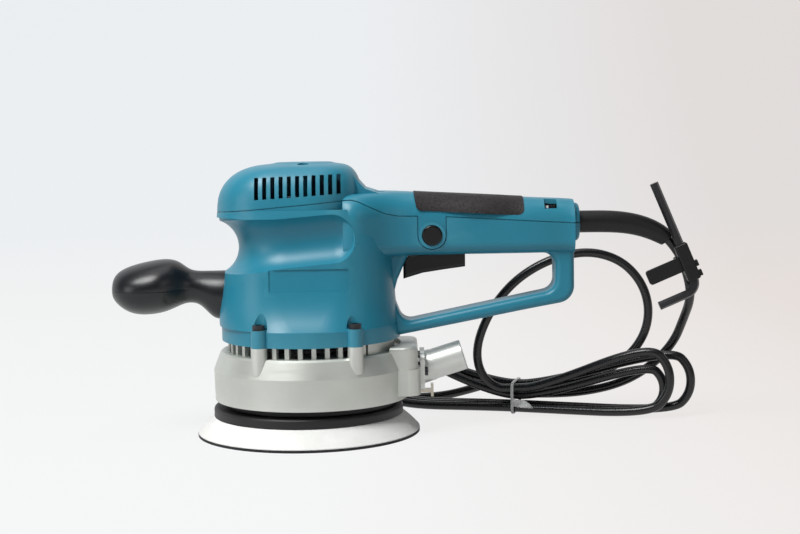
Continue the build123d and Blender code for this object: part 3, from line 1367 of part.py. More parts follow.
def hank_lane(index):
    """Return how far behind the hank's middle a lane lies."""
    return (1.5 - index) * CORD_STEP


def hank_row(index):
    """Return the height of a row of strands at the tie."""
    return 2 * SLIDE_GAP + TIE_THICKNESS + CORD_RADIUS + index * CORD_STEP


def hank_stations():
    """Return the points and headings that the hank's loops pass, a quarter turn or a run apart."""
    low = CORD_RADIUS + 0.1
    left = hank_heading(-1, 0)
    right = hank_heading(1, 0)
    down = hank_heading(0, -1)
    up = hank_heading(0, 1)
    stations = [(hank_place(-CORD_DIAMETER, hank_lane(0), hank_row(1)), left)]
    for i, (reach, height) in enumerate(HANK_RIGHT_LOBES):
        lane = hank_lane(i)
        next_lane = hank_lane(i + 1)
        left_reach, left_height = HANK_LEFT_LOBES[i]
        bend = (left_height - low) / 2
        stations.append((hank_place(-left_reach + bend, lane, left_height), left))
        stations.append((hank_place(-left_reach, lane, low + bend), down))
        stations.append((hank_place(-left_reach + bend, lane, low), right))
        stations.append((hank_place(0, next_lane, hank_row(0)), right))
        bend = (height - low) / 2
        stations.append((hank_place(reach - bend, next_lane, low), right))
        stations.append((hank_place(reach, next_lane, low + bend), up))
        stations.append((hank_place(reach - bend, next_lane, height), left))
        row = 2 - i % 2
        stations.append((hank_place(CORD_DIAMETER, next_lane, hank_row(row)), left))
    return stations


def biarc(start, heading, end, end_heading):
    """Return two arcs that join two points and their headings smoothly."""
    chord = end - start
    both = heading + end_heading
    spread = 2 * (1 - heading.dot(end_heading))
    along = chord.dot(both)
    if spread < 1e-9:
        reach = chord.dot(chord) / (2 * along)
    else:
        reach = (sqrt(along * along + spread * chord.dot(chord)) - along) / spread
    first = start + heading * reach
    second = end - end_heading * reach
    middle = (first + second) * 0.5
    return [
        TangentArc(start, middle, tangent=heading),
        TangentArc(middle, end, tangent=(second - first).normalized()),
    ]


def hank_path():
    """Return the hank's whole path, straight for one diameter at both ends."""
    stations = hank_stations()
    first = stations[0][0]
    last = stations[-1][0]
    out = hank_heading(-CORD_DIAMETER, 0)
    edges = [Line(first - out, first)]
    for (start, heading), (end, end_heading) in zip(stations, stations[1:]):
        edges += biarc(start, heading, end, end_heading)
    edges.append(Line(last, last + out))
    return edges


def least_gap(edges):
    """Return the least gap between strands of a path that are not next to each other."""
    points = []
    travelled = 0.0
    for edge in edges:
        count = max(2, ceil(edge.length / 2.5))
        for i in range(count):
            points.append((travelled + edge.length * i / count, edge.position_at(i / count)))
        travelled += edge.length
    least = travelled
    for i, (at, point) in enumerate(points):
        for other_at, other in points[i + 1 :]:
            if other_at - at > 5 * CORD_DIAMETER:
                least = min(least, (point - other).length)
    return least - CORD_DIAMETER


def tube(path, start, heading):
    """Return a round tube of the cord's size along a path."""
    return sweep(Plane(origin=start, z_dir=heading) * Circle(CORD_RADIUS), path=path)


def cord_hank():
    """Return the tied hank as one unbroken tube."""
    edges = hank_path()
    start = edges[0].position_at(0)
    body = tube(Wire([edge.edge() for edge in edges]), start, hank_heading(-1, 0))
    length = sum(edge.length for edge in edges)
    report_tube("cord_hank", body, length)
    print(f"cord_hank least gap {least_gap(edges):.2f}")
    return body


def report_tube(name, body, length):
    """Print a tube's length and its volume against its section times its length."""
    share = body.volume / (pi * CORD_RADIUS**2 * length)
    print(f"{name} length {length:.1f} volume share {share:.4f}")


def corner_radii(points):
    """Return each corner's radius: as large as its two runs allow."""
    radii = []
    for before, corner, after in zip(points, points[1:], points[2:]):
        run_in = corner - before
        run_out = after - corner
        turn = radians(run_in.get_angle(run_out))
        radii.append(0.45 * min(run_in.length, run_out.length) / tan(turn / 2))
    return radii


def free_cord(name, points):
    """Return a tube along straight runs joined by tangent arcs."""
    radii = corner_radii(points)
    print(name, "radii", " ".join(f"{radius:.0f}" for radius in radii))
    path = FilletPolyline(*points, radius=radii)
    body = tube(path, points[0], points[1] - points[0])
    report_tube(name, body, path.length)
    return body


def lead_points():
    """Return the route from the guard to the tie."""
    return [
        Vector(GUARD_END_X + ORBIT_RADIUS, 0, GUARD_END_Z),
        Vector(250.5, 0.0, 119.0),
        Vector(257.6, 1.6, 101.8),
        Vector(261.0, 8.0, 85.5),
        hank_place(118.0, 1.5, 68.0),
        hank_place(110.5, 11.5, 50.5),
        hank_place(95.0, 13.5, 33.5),
        hank_place(74.0, 13.6, 20.5),
        hank_place(48.0, 12.0, 13.8),
        hank_place(22.0, 10.6, 11.7),
        hank_place(0.0, hank_lane(0), hank_row(1)),
    ]


def loop_points():
    """Return the route of the one loop that stands up behind the handle."""
    return [
        hank_place(0.0, hank_lane(3), hank_row(2)),
        hank_place(-10.5, -10.8, 18.4),
        hank_place(-19.5, -12.4, 24.5),
        hank_place(-24.5, -13.4, 35.0),
        hank_place(-25.0, -13.6, 48.0),
        hank_place(-20.5, -13.0, 63.0),
        hank_place(-11.0, -11.6, 80.5),
        hank_place(4.5, -8.6, 97.5),
        hank_place(26.0, -4.0, 110.0),
        hank_place(51.0, 2.0, 115.6),
        hank_place(73.0, 8.0, 109.5),
        hank_place(87.5, 12.0, 94.5),
        hank_place(93.5, 13.8, 76.0),
        hank_place(91.0, 13.8, 57.0),
        hank_place(80.0, 13.2, 40.5),
        hank_place(62.5, 12.4, 28.8),
        hank_place(42.0, 11.2, 22.0),
        hank_place(21.0, 10.5, 18.8),
        hank_place(0.0, hank_lane(0), hank_row(2)),
    ]


def tail_points():
    """Return the route from the tie to the plug, behind the base."""
    plug = Vector(PLUG_X, PLUG_Y, PLUG_THICKNESS / 2)
    return [
        hank_place(0.0, hank_lane(0), hank_row(2)),
        hank_place(-12.0, 12.4, 18.9),
        hank_place(-25.0, 18.0, 16.2),
        hank_place(-40.0, 23.5, 10.8),
        hank_place(-57.0, 26.5, 5.8),
        hank_place(-75.0, 27.0, 3.6),
        Vector(61.0, PLUG_Y - 2.2, 3.5),
        Vector(44.5, PLUG_Y - 0.5, 6.6),
        plug + Vector(15.0, 0, 0),
        plug,
    ]


def cord_tie():
    """Return the white tie around the hank's waist."""
    clear = SLIDE_GAP
    half = hank_lane(0) + CORD_RADIUS + clear
    bottom = hank_row(0) - CORD_RADIUS - clear
    top = hank_row(2) + CORD_RADIUS + clear
    height = top - bottom
    outer = RectangleRounded(2 * (half + TIE_THICKNESS), height + 2 * TIE_THICKNESS, 3.5 + TIE_THICKNESS)
    band = outer - RectangleRounded(2 * half, height, 3.5)
    middle = hank_place(-TIE_WIDTH / 2, 0, (top + bottom) / 2)
    across = hank_place(0, 1, 0) - hank_place(0, 0, 0)
    plane = Plane(origin=middle, x_dir=across, z_dir=hank_heading(1, 0))
    return extrude(plane * band, TIE_WIDTH)


# Hex key and its holder, in the part's own frame


def key_heading():
    """Return the heading of the key's long leg."""
    return Vector(KEY_CORNER_X - KEY_TIP_X, 0, KEY_CORNER_Z - KEY_TIP_Z).normalized()


def key_place(along, across, depth):
    """Return a point by its distance up the key's long leg, to its left and from its depth."""
    heading = key_heading()
    left = Vector(heading.Z, 0, -heading.X)
    corner = Vector(KEY_CORNER_X, KEY_Y, KEY_CORNER_Z)
    return corner - heading * along + left * across + Vector(0, depth, 0)


def hex_key():
    """Return the bent hex key."""
    corners = (key_place(KEY_LONG, 0, 0), key_place(0, 0, 0), key_place(0, KEY_SHORT, 0))
    path = FilletPolyline(*corners, radius=KEY_BEND)
    section = RegularPolygon(KEY_FLATS / 2, 6, major_radius=False)
    return sweep(Plane(origin=key_place(KEY_LONG, 0, 0), z_dir=key_heading()) * section, path=path)


def key_box(along, across, depth, length, width, thickness):
    """Return a box laid along the key's long leg, centred on a place."""
    plane = Plane(origin=key_place(along, across, depth), x_dir=(0, 1, 0), z_dir=key_heading())
    return plane * Box(thickness, width, length)


def key_holder():
    """Return the rubber holder: a sleeve on the key, a ring on the cord and a pull tab."""
    body = key_box(HOLDER_ALONG, 0, 0.4, HOLDER_LENGTH, HOLDER_WIDTH, HOLDER_DEPTH)
    body = fillet(body.edges(), 1.4)
    across = HOLDER_WIDTH / 2 - 1 + HOLDER_TAB_LENGTH / 2
    tab = key_box(HOLDER_ALONG, across, 0.4, HOLDER_TAB_WIDTH, HOLDER_TAB_LENGTH, HOLDER_TAB_THICKNESS)
    body += fillet(tab.edges().filter_by(Axis.Y), 2.0)
    for along in (HOLDER_ALONG - 3.0, HOLDER_ALONG - 10.0):
        body += key_box(along, -HOLDER_WIDTH / 2 - 0.6, 0.4, 4.0, 3.0, 4.0)
    lead = lead_points()
    run = (lead[2] - lead[1]).normalized()
    middle = lead[1] + run * HOLDER_ON_CORD
    around_cord = Plane(origin=middle, z_dir=run)
    body += around_cord * Cylinder(CORD_RADIUS + 2.0, HOLDER_RING_LENGTH)
    body -= around_cord * Cylinder(CORD_RADIUS, 60)
    section = RegularPolygon(KEY_FLATS / 2, 6, major_radius=False)
    hole = extrude(Plane(origin=key_place(KEY_LONG, 0, 0), z_dir=key_heading()) * section, KEY_LONG + 5)
    return body - hole


# Plug


def plug_body():
    """Return the two-pin plug's moulded body, lying on the floor."""
    middle = PLUG_THICKNESS / 2
    wide = PLUG_WIDTH / 2
    steps = [(0.0, 6.5, 6.5), (12.0, 8.5, 8.0), (22.0, wide, middle - 0.2), (PLUG_LENGTH, wide, middle - 0.2)]
    sections = []
    for along, half_width, half_height in steps:
        plane = Plane(origin=(PLUG_X - along, PLUG_Y, middle), x_dir=(0, 1, 0), z_dir=(-1, 0, 0))
        corner = min(half_width, half_height) * 0.8
        sections.append(plane * RectangleRounded(2 * half_width, 2 * half_height, corner))
    body = loft(sections, ruled=True)
    return cut_all(body, plug_pin_rods())


def plug_pin_rods():
    """Return the two pins as rods."""
    end = PLUG_X - PLUG_LENGTH
    pins = []
    for side in (-1, 1):
        y = PLUG_Y + side * PLUG_PIN_SPACING / 2
        pins.append(rod_x(y, PLUG_THICKNESS / 2, PLUG_PIN_RADIUS, end - PLUG_PIN_LENGTH, end + 12))
    return pins


def plug_pins():
    """Return the plug's two round pins."""
    return Compound(children=[fillet(pin.edges().sort_by(Axis.X)[0], 1.2) for pin in plug_pin_rods()])


def on_machine():
    """Return the pieces that are modelled about the motor axis, by node name."""
    shell = whole_shell()
    return {
        "motor_housing": motor_housing(shell),
        "top_cover": top_cover(shell),
        "handle_inlay": handle_inlay(),
        "front_grip": front_grip(),
        "grip_stud": grip_stud(),
        "grip_nut": grip_nut(),
        "base_housing": base_housing(),
        "base_screws": base_screws(),
        "dust_seal": dust_seal(),
        "dust_nozzle": dust_nozzle(),
        "nozzle_screws": nozzle_screws(),
        "mode_lever": mode_lever(),
        "lever_screw": lever_screw(),
        "lower_bearing": bearing(
            LOWER_BEARING_RADIUS, SHAFT_LOW_RADIUS + RUNNING_FIT, LOWER_BEARING_BOTTOM, DECK_TOP
        ),
        "upper_bearing": bearing(
            UPPER_BEARING_RADIUS, SHAFT_TOP_RADIUS + RUNNING_FIT, UPPER_BEARING_BOTTOM, UPPER_BEARING_TOP
        ),
        "bearing_retainer": bearing_retainer(),
        "retainer_screws": retainer_screws(),
        "fan_baffle": fan_baffle(),
        "stator_core": stator_core(),
        "field_coils": field_coils(),
        "brush_bridge": brush_bridge(),
        "brush_holders": brush_holders(),
        "carbon_brushes": carbon_brushes(),
        "brush_springs": brush_springs(),
        "motor_shaft": motor_shaft(),
        "armature_core": armature_core(),
        "armature_windings": armature_windings(),
        "commutator": commutator(),
        "cooling_fan": cooling_fan(),
        "eccentric_hub": eccentric_hub(),
        "trigger": trigger(),
        "trigger_pin": trigger_pin(),
        "lock_button": lock_button(),
        "switch_body": switch_body(),
        "speed_dial": speed_dial(),
        "speed_controller": speed_controller(),
        "cord_clamp": cord_clamp(),
        "clamp_screws": clamp_screws(),
        "cover_screws": cover_screws(),
        "cord_inner": cord_inner(),
        "cord_guard": cord_guard(),
    }


def on_pad_axis():
    """Return the pieces that are modelled about the pad's own axis, by node name."""
    return {
        "pad_face": pad_face(),
        "pad_foam": pad_foam(),
        "pad_backing": pad_backing(),
        "pad_spindle": pad_spindle(),
        "pad_washer": pad_washer(),
        "pad_bolt": pad_bolt(),
        "pad_bearing": pad_bearing(),
        "cord_lead": free_cord("cord_lead", lead_points()),
        "cord_hank": cord_hank(),
        "cord_loop": free_cord("cord_loop", loop_points()),
        "cord_tail": free_cord("cord_tail", tail_points()),
        "cord_tie": cord_tie(),
        "hex_key": hex_key(),
        "key_holder": key_holder(),
        "plug_body": plug_body(),
        "plug_pins": plug_pins(),
    }


def write_node(name, shape):
    """Write one node's solids to its STEP file."""
    export_step(Compound(list(shape.solids())), f"parts/{name}.step")


def main():
    """Build every piece and write one STEP file for each node."""
    os.makedirs("parts", exist_ok=True)
    for name, shape in on_machine().items():
        write_node(name, MACHINE * shape)
    for name, shape in on_pad_axis().items():
        write_node(name, shape)


if __name__ == "__main__":
    main()
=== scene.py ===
"""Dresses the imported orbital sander: finishes, foam pad, dial scale, cord, tie and a plain studio."""

from __future__ import annotations

import logging
import math
from dataclasses import dataclass
from enum import Enum

import bmesh
import bpy
from mathutils import Euler, Matrix, Vector


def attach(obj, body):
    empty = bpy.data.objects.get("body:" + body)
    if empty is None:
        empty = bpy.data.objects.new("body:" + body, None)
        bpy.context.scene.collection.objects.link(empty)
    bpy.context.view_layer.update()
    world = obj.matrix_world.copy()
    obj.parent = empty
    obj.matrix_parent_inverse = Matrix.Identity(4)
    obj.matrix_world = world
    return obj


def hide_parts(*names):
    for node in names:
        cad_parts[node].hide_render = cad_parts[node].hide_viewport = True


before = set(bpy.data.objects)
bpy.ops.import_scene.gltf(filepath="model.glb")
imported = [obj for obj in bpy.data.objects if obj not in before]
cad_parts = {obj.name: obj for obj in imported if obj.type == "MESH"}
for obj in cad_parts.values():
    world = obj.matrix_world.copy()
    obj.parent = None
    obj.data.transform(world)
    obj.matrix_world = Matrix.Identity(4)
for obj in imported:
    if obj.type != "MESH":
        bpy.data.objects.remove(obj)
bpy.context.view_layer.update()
LOG = logging.getLogger("sander")
MM = 0.001

# The part of a noise's range that is spread out, for patches of tone and for the grain's gloss.
PATCH_RANGE = (0.3, 0.7)
GRAIN_RANGE = (0.2, 0.8)
# The pointiness at which a sharp edge begins to take its lighter edge colour, and at which it takes it most:
# scuffing on most parts, a painted edge highlight on the teal housing.
EDGE_WEAR_AND_HIGHLIGHT_RANGE = (0.52, 0.62)
# How strongly the grain tilts the surface.
BUMP_STRENGTH = 0.75
# The scale along the lines that a belt or a lathe leaves, against 1 across them.
LINE_STRETCH = 0.03


def linear(code: str) -> tuple[float, float, float, float]:
    """Turn an sRGB hex colour to linear.

    Args:
        code: Six hex digits after a hash sign.

    Returns:
        Linear red, green, blue and an alpha of 1.
    """
    parts = [int(code[i : i + 2], 16) / 255 for i in (1, 3, 5)]
    red, green, blue = [p / 12.92 if p <= 0.04045 else ((p + 0.055) / 1.055) ** 2.4 for p in parts]
    return red, green, blue, 1.0


def add_node(tree: bpy.types.NodeTree, kind: str, settings: dict, links: dict) -> bpy.types.Node:
    """Add a node, set its properties and inputs, and link its inputs.

    Args:
        tree: The tree that gets the node.
        kind: The node's type name.
        settings: Property names, or input names after "in:", to their values.
        links: Input names to the output sockets that feed them.

    Returns:
        The new node.
    """
    node = tree.nodes.new(kind)
    for name, value in settings.items():
        if name.startswith("in:"):
            key = name[3:]
            node.inputs[int(key) if key.isdigit() else key].default_value = value
        else:
            setattr(node, name, value)
    for name, socket in links.items():
        tree.links.new(socket, node.inputs[int(name) if name.isdigit() else name])
    return node


class Grain(Enum):
    """The small relief that a way of making leaves on a surface."""

    ERODED = "spark eroded mould texture"
    PEBBLED = "pebbled soft mould texture"
    CAST = "blasted casting"
    BRUSHED = "lines of an abrasive belt"
    TURNED = "level lines round a turned face"
    CELLS = "open foam cells"
    HOOKS = "rows of woven hooks"
    LAYERS = "stacked sheets"
    WOUND = "wound wire"


@dataclass(frozen=True)
class Finish:
    """One material, from what it is and how its surface was made."""

    name: str
    colour: str
    shade: str
    roughness: float
    grain: Grain
    grain_mm: float
    grain_depth_mm: float
    patch_mm: float = 45.0
    swing: float = 0.06
    metallic: float = 0.0
    ior: float = 1.5
    # A lighter colour for sharp convex edges, and how much of it: scuffing on most finishes, a painted edge
    # highlight on the teal nylon.
    wear_and_edge_highlight: str = ""
    wear_and_edge_highlight_share: float = 0.0
    sheen: float = 0.0

    def relief(self, tree: bpy.types.NodeTree, place: bpy.types.NodeSocket) -> bpy.types.NodeSocket:
        """Build the grain's height.

        Args:
            tree: The material's tree.
            place: The object coordinates, in metres.

        Returns:
            The socket that gives the height from 0 to 1.
        """
        scale = 1.0 / (self.grain_mm * MM)
        if self.grain in (Grain.ERODED, Grain.CAST):
            made = {"in:Scale": scale, "in:Detail": 3.0, "in:Roughness": 0.6}
            return add_node(tree, "ShaderNodeTexNoise", made, {"Vector": place}).outputs["Fac"]
        if self.grain in (Grain.PEBBLED, Grain.CELLS):
            made = {"feature": "SMOOTH_F1", "in:Scale": scale, "in:Smoothness": 0.35}
            return add_node(tree, "ShaderNodeTexVoronoi", made, {"Vector": place}).outputs["Distance"]
        if self.grain in (Grain.BRUSHED, Grain.TURNED):
            stretch = (LINE_STRETCH, LINE_STRETCH if self.grain is Grain.TURNED else 1.0, 1.0)
            lines = add_node(tree, "ShaderNodeMapping", {"in:Scale": stretch}, {"Vector": place}).outputs[0]
            made = {"in:Scale": scale, "in:Detail": 2.0}
            return add_node(tree, "ShaderNodeTexNoise", made, {"Vector": lines}).outputs["Fac"]
        if self.grain is Grain.HOOKS:
            made = {"distance": "CHEBYCHEV", "in:Scale": scale, "in:Randomness": 0.15}
            return add_node(tree, "ShaderNodeTexVoronoi", made, {"Vector": place}).outputs["Distance"]
        direction = "Z" if self.grain is Grain.LAYERS else "DIAGONAL"
        made = {"bands_direction": direction, "in:Scale": scale / math.tau, "in:Distortion": 0.4}
        return add_node(tree, "ShaderNodeTexWave", made, {"Vector": place}).outputs["Fac"]

    def material(self) -> bpy.types.Material:
        """Build the material's nodes.

        Returns:
            The material, ready to assign.
        """
        made = bpy.data.materials.new(self.name)
        made.use_nodes = True
        tree = made.node_tree
        tree.nodes.clear()
        place = add_node(tree, "ShaderNodeTexCoord", {}, {}).outputs["Object"]
        patch_settings = {"in:Scale": 1.0 / (self.patch_mm * MM), "in:Detail": 4.0}
        patch = add_node(tree, "ShaderNodeTexNoise", patch_settings, {"Vector": place}).outputs["Fac"]
        spread = {"in:1": PATCH_RANGE[0], "in:2": PATCH_RANGE[1]}
        share = add_node(tree, "ShaderNodeMapRange", spread, {"0": patch}).outputs[0]
        tones = {"data_type": "RGBA", "in:6": linear(self.colour), "in:7": linear(self.shade)}
        tone = add_node(tree, "ShaderNodeMix", tones, {"0": share}).outputs[2]
        height = self.relief(tree, place)
        # Sharp convex edges take the lighter edge colour: scuffing, and on the teal nylon a painted edge
        # highlight.
        if self.wear_and_edge_highlight_share > 0:
            edge = add_node(tree, "ShaderNodeNewGeometry", {}, {}).outputs["Pointiness"]
            edge_wear_and_highlight = {"in:1": EDGE_WEAR_AND_HIGHLIGHT_RANGE[0], "in:2": EDGE_WEAR_AND_HIGHLIGHT_RANGE[1], "in:4": self.wear_and_edge_highlight_share}
            amount = add_node(tree, "ShaderNodeMapRange", edge_wear_and_highlight, {"0": edge}).outputs[0]
            edge_wear_and_highlight_tone = {"data_type": "RGBA", "in:7": linear(self.wear_and_edge_highlight)}
            tone = add_node(tree, "ShaderNodeMix", edge_wear_and_highlight_tone, {"0": amount, "6": tone}).outputs[2]
        low, high = self.roughness - self.swing, self.roughness + self.swing
        rough = {"in:1": GRAIN_RANGE[0], "in:2": GRAIN_RANGE[1], "in:3": low, "in:4": high}
        roughness = add_node(tree, "ShaderNodeMapRange", rough, {"0": height}).outputs[0]
        bump_settings = {"in:Strength": BUMP_STRENGTH, "in:Distance": self.grain_depth_mm * MM}
        bump = add_node(tree, "ShaderNodeBump", bump_settings, {"Height": height}).outputs[0]
        settings = {"in:Metallic": self.metallic, "in:IOR": self.ior, "in:Sheen Weight": self.sheen}
        links = {"Base Color": tone, "Roughness": roughness, "Normal": bump}
        shader = add_node(tree, "ShaderNodeBsdfPrincipled", settings, links)
        add_node(tree, "ShaderNodeOutputMaterial", {}, {"Surface": shader.outputs[0]})
        return made


# Glass filled nylon, moulded in a spark eroded tool: a soft even sheen with a fine dry grain. Its sharp edges
# are painted a lighter teal: a painted edge highlight.
TEAL_NYLON = Finish(
    "moulded_teal_nylon", "#20809A", "#258198", 0.38, Grain.ERODED, 0.9, 0.05, wear_and_edge_highlight="#5FA9BD", wear_and_edge_highlight_share=0.25
)
# Aluminium die casting, belted and lacquered silver: pale, half metallic, its faint level lines drawn coarse.
SILVER_CASTING = Finish(
    "die_cast_aluminium_lacquered_silver", "#D2D5CE", "#C6C9C2", 0.4, Grain.TURNED, 0.9, 0.04, metallic=0.55,
    patch_mm=30.0, swing=0.1, wear_and_edge_highlight="#E9E8E3", wear_and_edge_highlight_share=0.3,
)
# Cast aluminium tube, brushed on a belt: long faint lines that stretch its highlights.
BRUSHED_NOZZLE = Finish(
    "cast_aluminium_brushed", "#E4E6E1", "#D6D8D3", 0.42, Grain.BRUSHED, 0.6, 0.03, metallic=0.45,
    patch_mm=25.0,
)
# Nylon moulded black with a fine grain: dull, with a grey bloom on its faces.
BLACK_NYLON = Finish(
    "moulded_black_nylon", "#101113", "#0C0C0E", 0.4, Grain.ERODED, 0.8, 0.04, ior=1.4, wear_and_edge_highlight="#3A3B3E",
    wear_and_edge_highlight_share=0.2,
)
# The same nylon in a finer tool: a blue black satin that draws long pale highlights on the grip.
GRIP_NYLON = Finish(
    "moulded_satin_grip_nylon", "#15171B", "#111317", 0.32, Grain.ERODED, 0.7, 0.03, swing=0.05,
    wear_and_edge_highlight="#3A3B3E", wear_and_edge_highlight_share=0.2,
)
# Polished ABS, moulded in a bright tool: black with sharp soft-box reflections.
GLOSS_ABS = Finish(
    "moulded_gloss_abs_black", "#08080A", "#0B0B0D", 0.2, Grain.ERODED, 2.0, 0.01, ior=1.4, swing=0.03
)
# Thermoplastic rubber moulded over the handle with a pebbled skin: brown black and dry.
PEBBLED_RUBBER = Finish(
    "overmoulded_pebbled_rubber", "#171415", "#2E2A2A", 0.64, Grain.PEBBLED, 1.3, 0.25, patch_mm=1.8,
    swing=0.1, ior=1.42,
)
# Smooth moulded rubber: black, satin, a little grey where it bends.
SMOOTH_RUBBER = Finish(
    "moulded_smooth_rubber", "#111112", "#161618", 0.44, Grain.ERODED, 1.2, 0.04, patch_mm=20.0, ior=1.4
)
# Extruded rubber sheath: black with a low satin gloss along its length.
CORD_SHEATH = Finish(
    "extruded_rubber_sheath", "#121315", "#18191B", 0.27, Grain.ERODED, 2.5, 0.004, swing=0.03
)
# Cast open-cell polyurethane: cream white, matt, cells drawn a little coarse so that they show.
PAD_FOAM = Finish(
    "cast_polyurethane_foam", "#F6F7F4", "#ECEDE9", 0.85, Grain.CELLS, 1.1, 0.18, patch_mm=18.0, sheen=0.1
)
# Nylon hooks woven in rows on the pad's face: dark and rough, drawn coarse so that the rows show.
HOOK_FACE = Finish("woven_nylon_hooks", "#26262A", "#1C1C1F", 0.8, Grain.HOOKS, 1.4, 0.5, patch_mm=12.0)
# Glass filled nylon plate, moulded: near black with a dull skin.
PAD_PLATE = Finish("moulded_glass_filled_plate", "#131314", "#0F0F10", 0.5, Grain.ERODED, 0.9, 0.06)
# Ground steel: bright, with short fine lines.
GROUND_STEEL = Finish("ground_steel", "#B9BABB", "#A7A8AA", 0.26, Grain.BRUSHED, 0.5, 0.02, metallic=1.0)
# Steel blackened in an oxide bath: dark with a faint oily sheen.
BLACK_OXIDE = Finish(
    "black_oxide_steel", "#101114", "#17181B", 0.32, Grain.ERODED, 0.8, 0.03, metallic=0.3, wear_and_edge_highlight="#4C4C50",
    wear_and_edge_highlight_share=0.3,
)
# Pressed steel with bright zinc: a pale warm mirror that is a little clouded.
ZINC_STEEL = Finish(
    "zinc_plated_pressed_steel", "#C9C3B4", "#B4AEA0", 0.28, Grain.CAST, 1.6, 0.03, metallic=1.0
)
# Varnished silicon steel sheets in a stack: fine dark lines, drawn wider than the real half millimetre.
LAMINATIONS = Finish(
    "stacked_silicon_steel", "#6E6E70", "#58585A", 0.45, Grain.LAYERS, 1.0, 0.1, metallic=0.8
)
# Enamelled copper wire, wound: red brown and ribbed.
COPPER_WIRE = Finish("wound_enamelled_copper", "#9A5A36", "#7E4527", 0.4, Grain.WOUND, 0.9, 0.2, metallic=0.7)
# Brass strip, pressed: yellow and bright with faint rolling lines.
BRASS = Finish("pressed_brass", "#C7A254", "#B08F48", 0.3, Grain.BRUSHED, 0.7, 0.02, metallic=1.0)
# Sintered carbon: grey black, dry.
CARBON = Finish("sintered_carbon", "#2B2B2C", "#222223", 0.6, Grain.CAST, 0.8, 0.05)
# White nylon, moulded: bright and slightly waxy.
WHITE_NYLON = Finish("moulded_white_nylon", "#F8F8F6", "#EEEEEB", 0.34, Grain.ERODED, 1.4, 0.02)
# White ink, pad printed on the dial's rim: chalky and a little uneven. The bar that faces the dial's window
# is also a painted highlight there.
PRINTED_INK_AND_HIGHLIGHT = Finish(
    "white_ink_and_painted_highlight", "#F1F1EE", "#E3E3DF", 0.6, Grain.ERODED, 0.4, 0.01, patch_mm=3.0
)

# Which finish each carried-over node takes.
NODE_FINISHES: dict[Finish, tuple[str, ...]] = {
    TEAL_NYLON: ("motor_housing", "top_cover"),
    SILVER_CASTING: ("base_housing",),
    BRUSHED_NOZZLE: ("dust_nozzle",),
    BLACK_NYLON: (
        "trigger", "speed_dial", "fan_baffle", "brush_bridge", "cooling_fan", "switch_body",
        "speed_controller", "cord_clamp", "plug_body",
    ),
    GRIP_NYLON: ("front_grip",),
    GLOSS_ABS: ("lock_button",),
    PEBBLED_RUBBER: ("handle_inlay",),
    SMOOTH_RUBBER: ("dust_seal", "key_holder", "cord_guard", "cord_inner"),
    HOOK_FACE: ("pad_face",),
    PAD_PLATE: ("pad_backing",),
    GROUND_STEEL: (
        "motor_shaft", "lower_bearing", "upper_bearing", "pad_bearing", "eccentric_hub", "pad_spindle",
        "grip_stud", "grip_nut", "bearing_retainer", "trigger_pin", "brush_springs", "pad_washer",
    ),
    BLACK_OXIDE: (
        "base_screws", "nozzle_screws", "lever_screw", "retainer_screws", "clamp_screws", "cover_screws",
        "pad_bolt", "hex_key",
    ),
    ZINC_STEEL: ("mode_lever",),
    LAMINATIONS: ("stator_core", "armature_core"),
    COPPER_WIRE: ("field_coils", "armature_windings", "commutator"),
    BRASS: ("brush_holders", "plug_pins"),
    CARBON: ("carbon_brushes",),
}


class Wardrobe:
    """Holds one material for each finish and dresses pieces with it."""

    def __init__(self) -> None:
        """Start with no material made."""
        self.made: dict[Finish, bpy.types.Material] = {}

    def dress(self, piece: bpy.types.Object, finish: Finish) -> None:
        """Give a piece its finish.

        Args:
            piece: A mesh or curve.
            finish: What it is made of.
        """
        if finish not in self.made:
            self.made[finish] = finish.material()
        if not piece.material_slots:
            piece.data.materials.append(self.made[finish])
        for slot in piece.material_slots:
            slot.material = self.made[finish]

    def dress_nodes(self) -> None:
        """Dress every carried-over node."""
        for finish, names in NODE_FINISHES.items():
            for name in names:
                self.dress(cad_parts[name], finish)
        LOG.info("dressed %d nodes", sum(len(names) for names in NODE_FINISHES.values()))


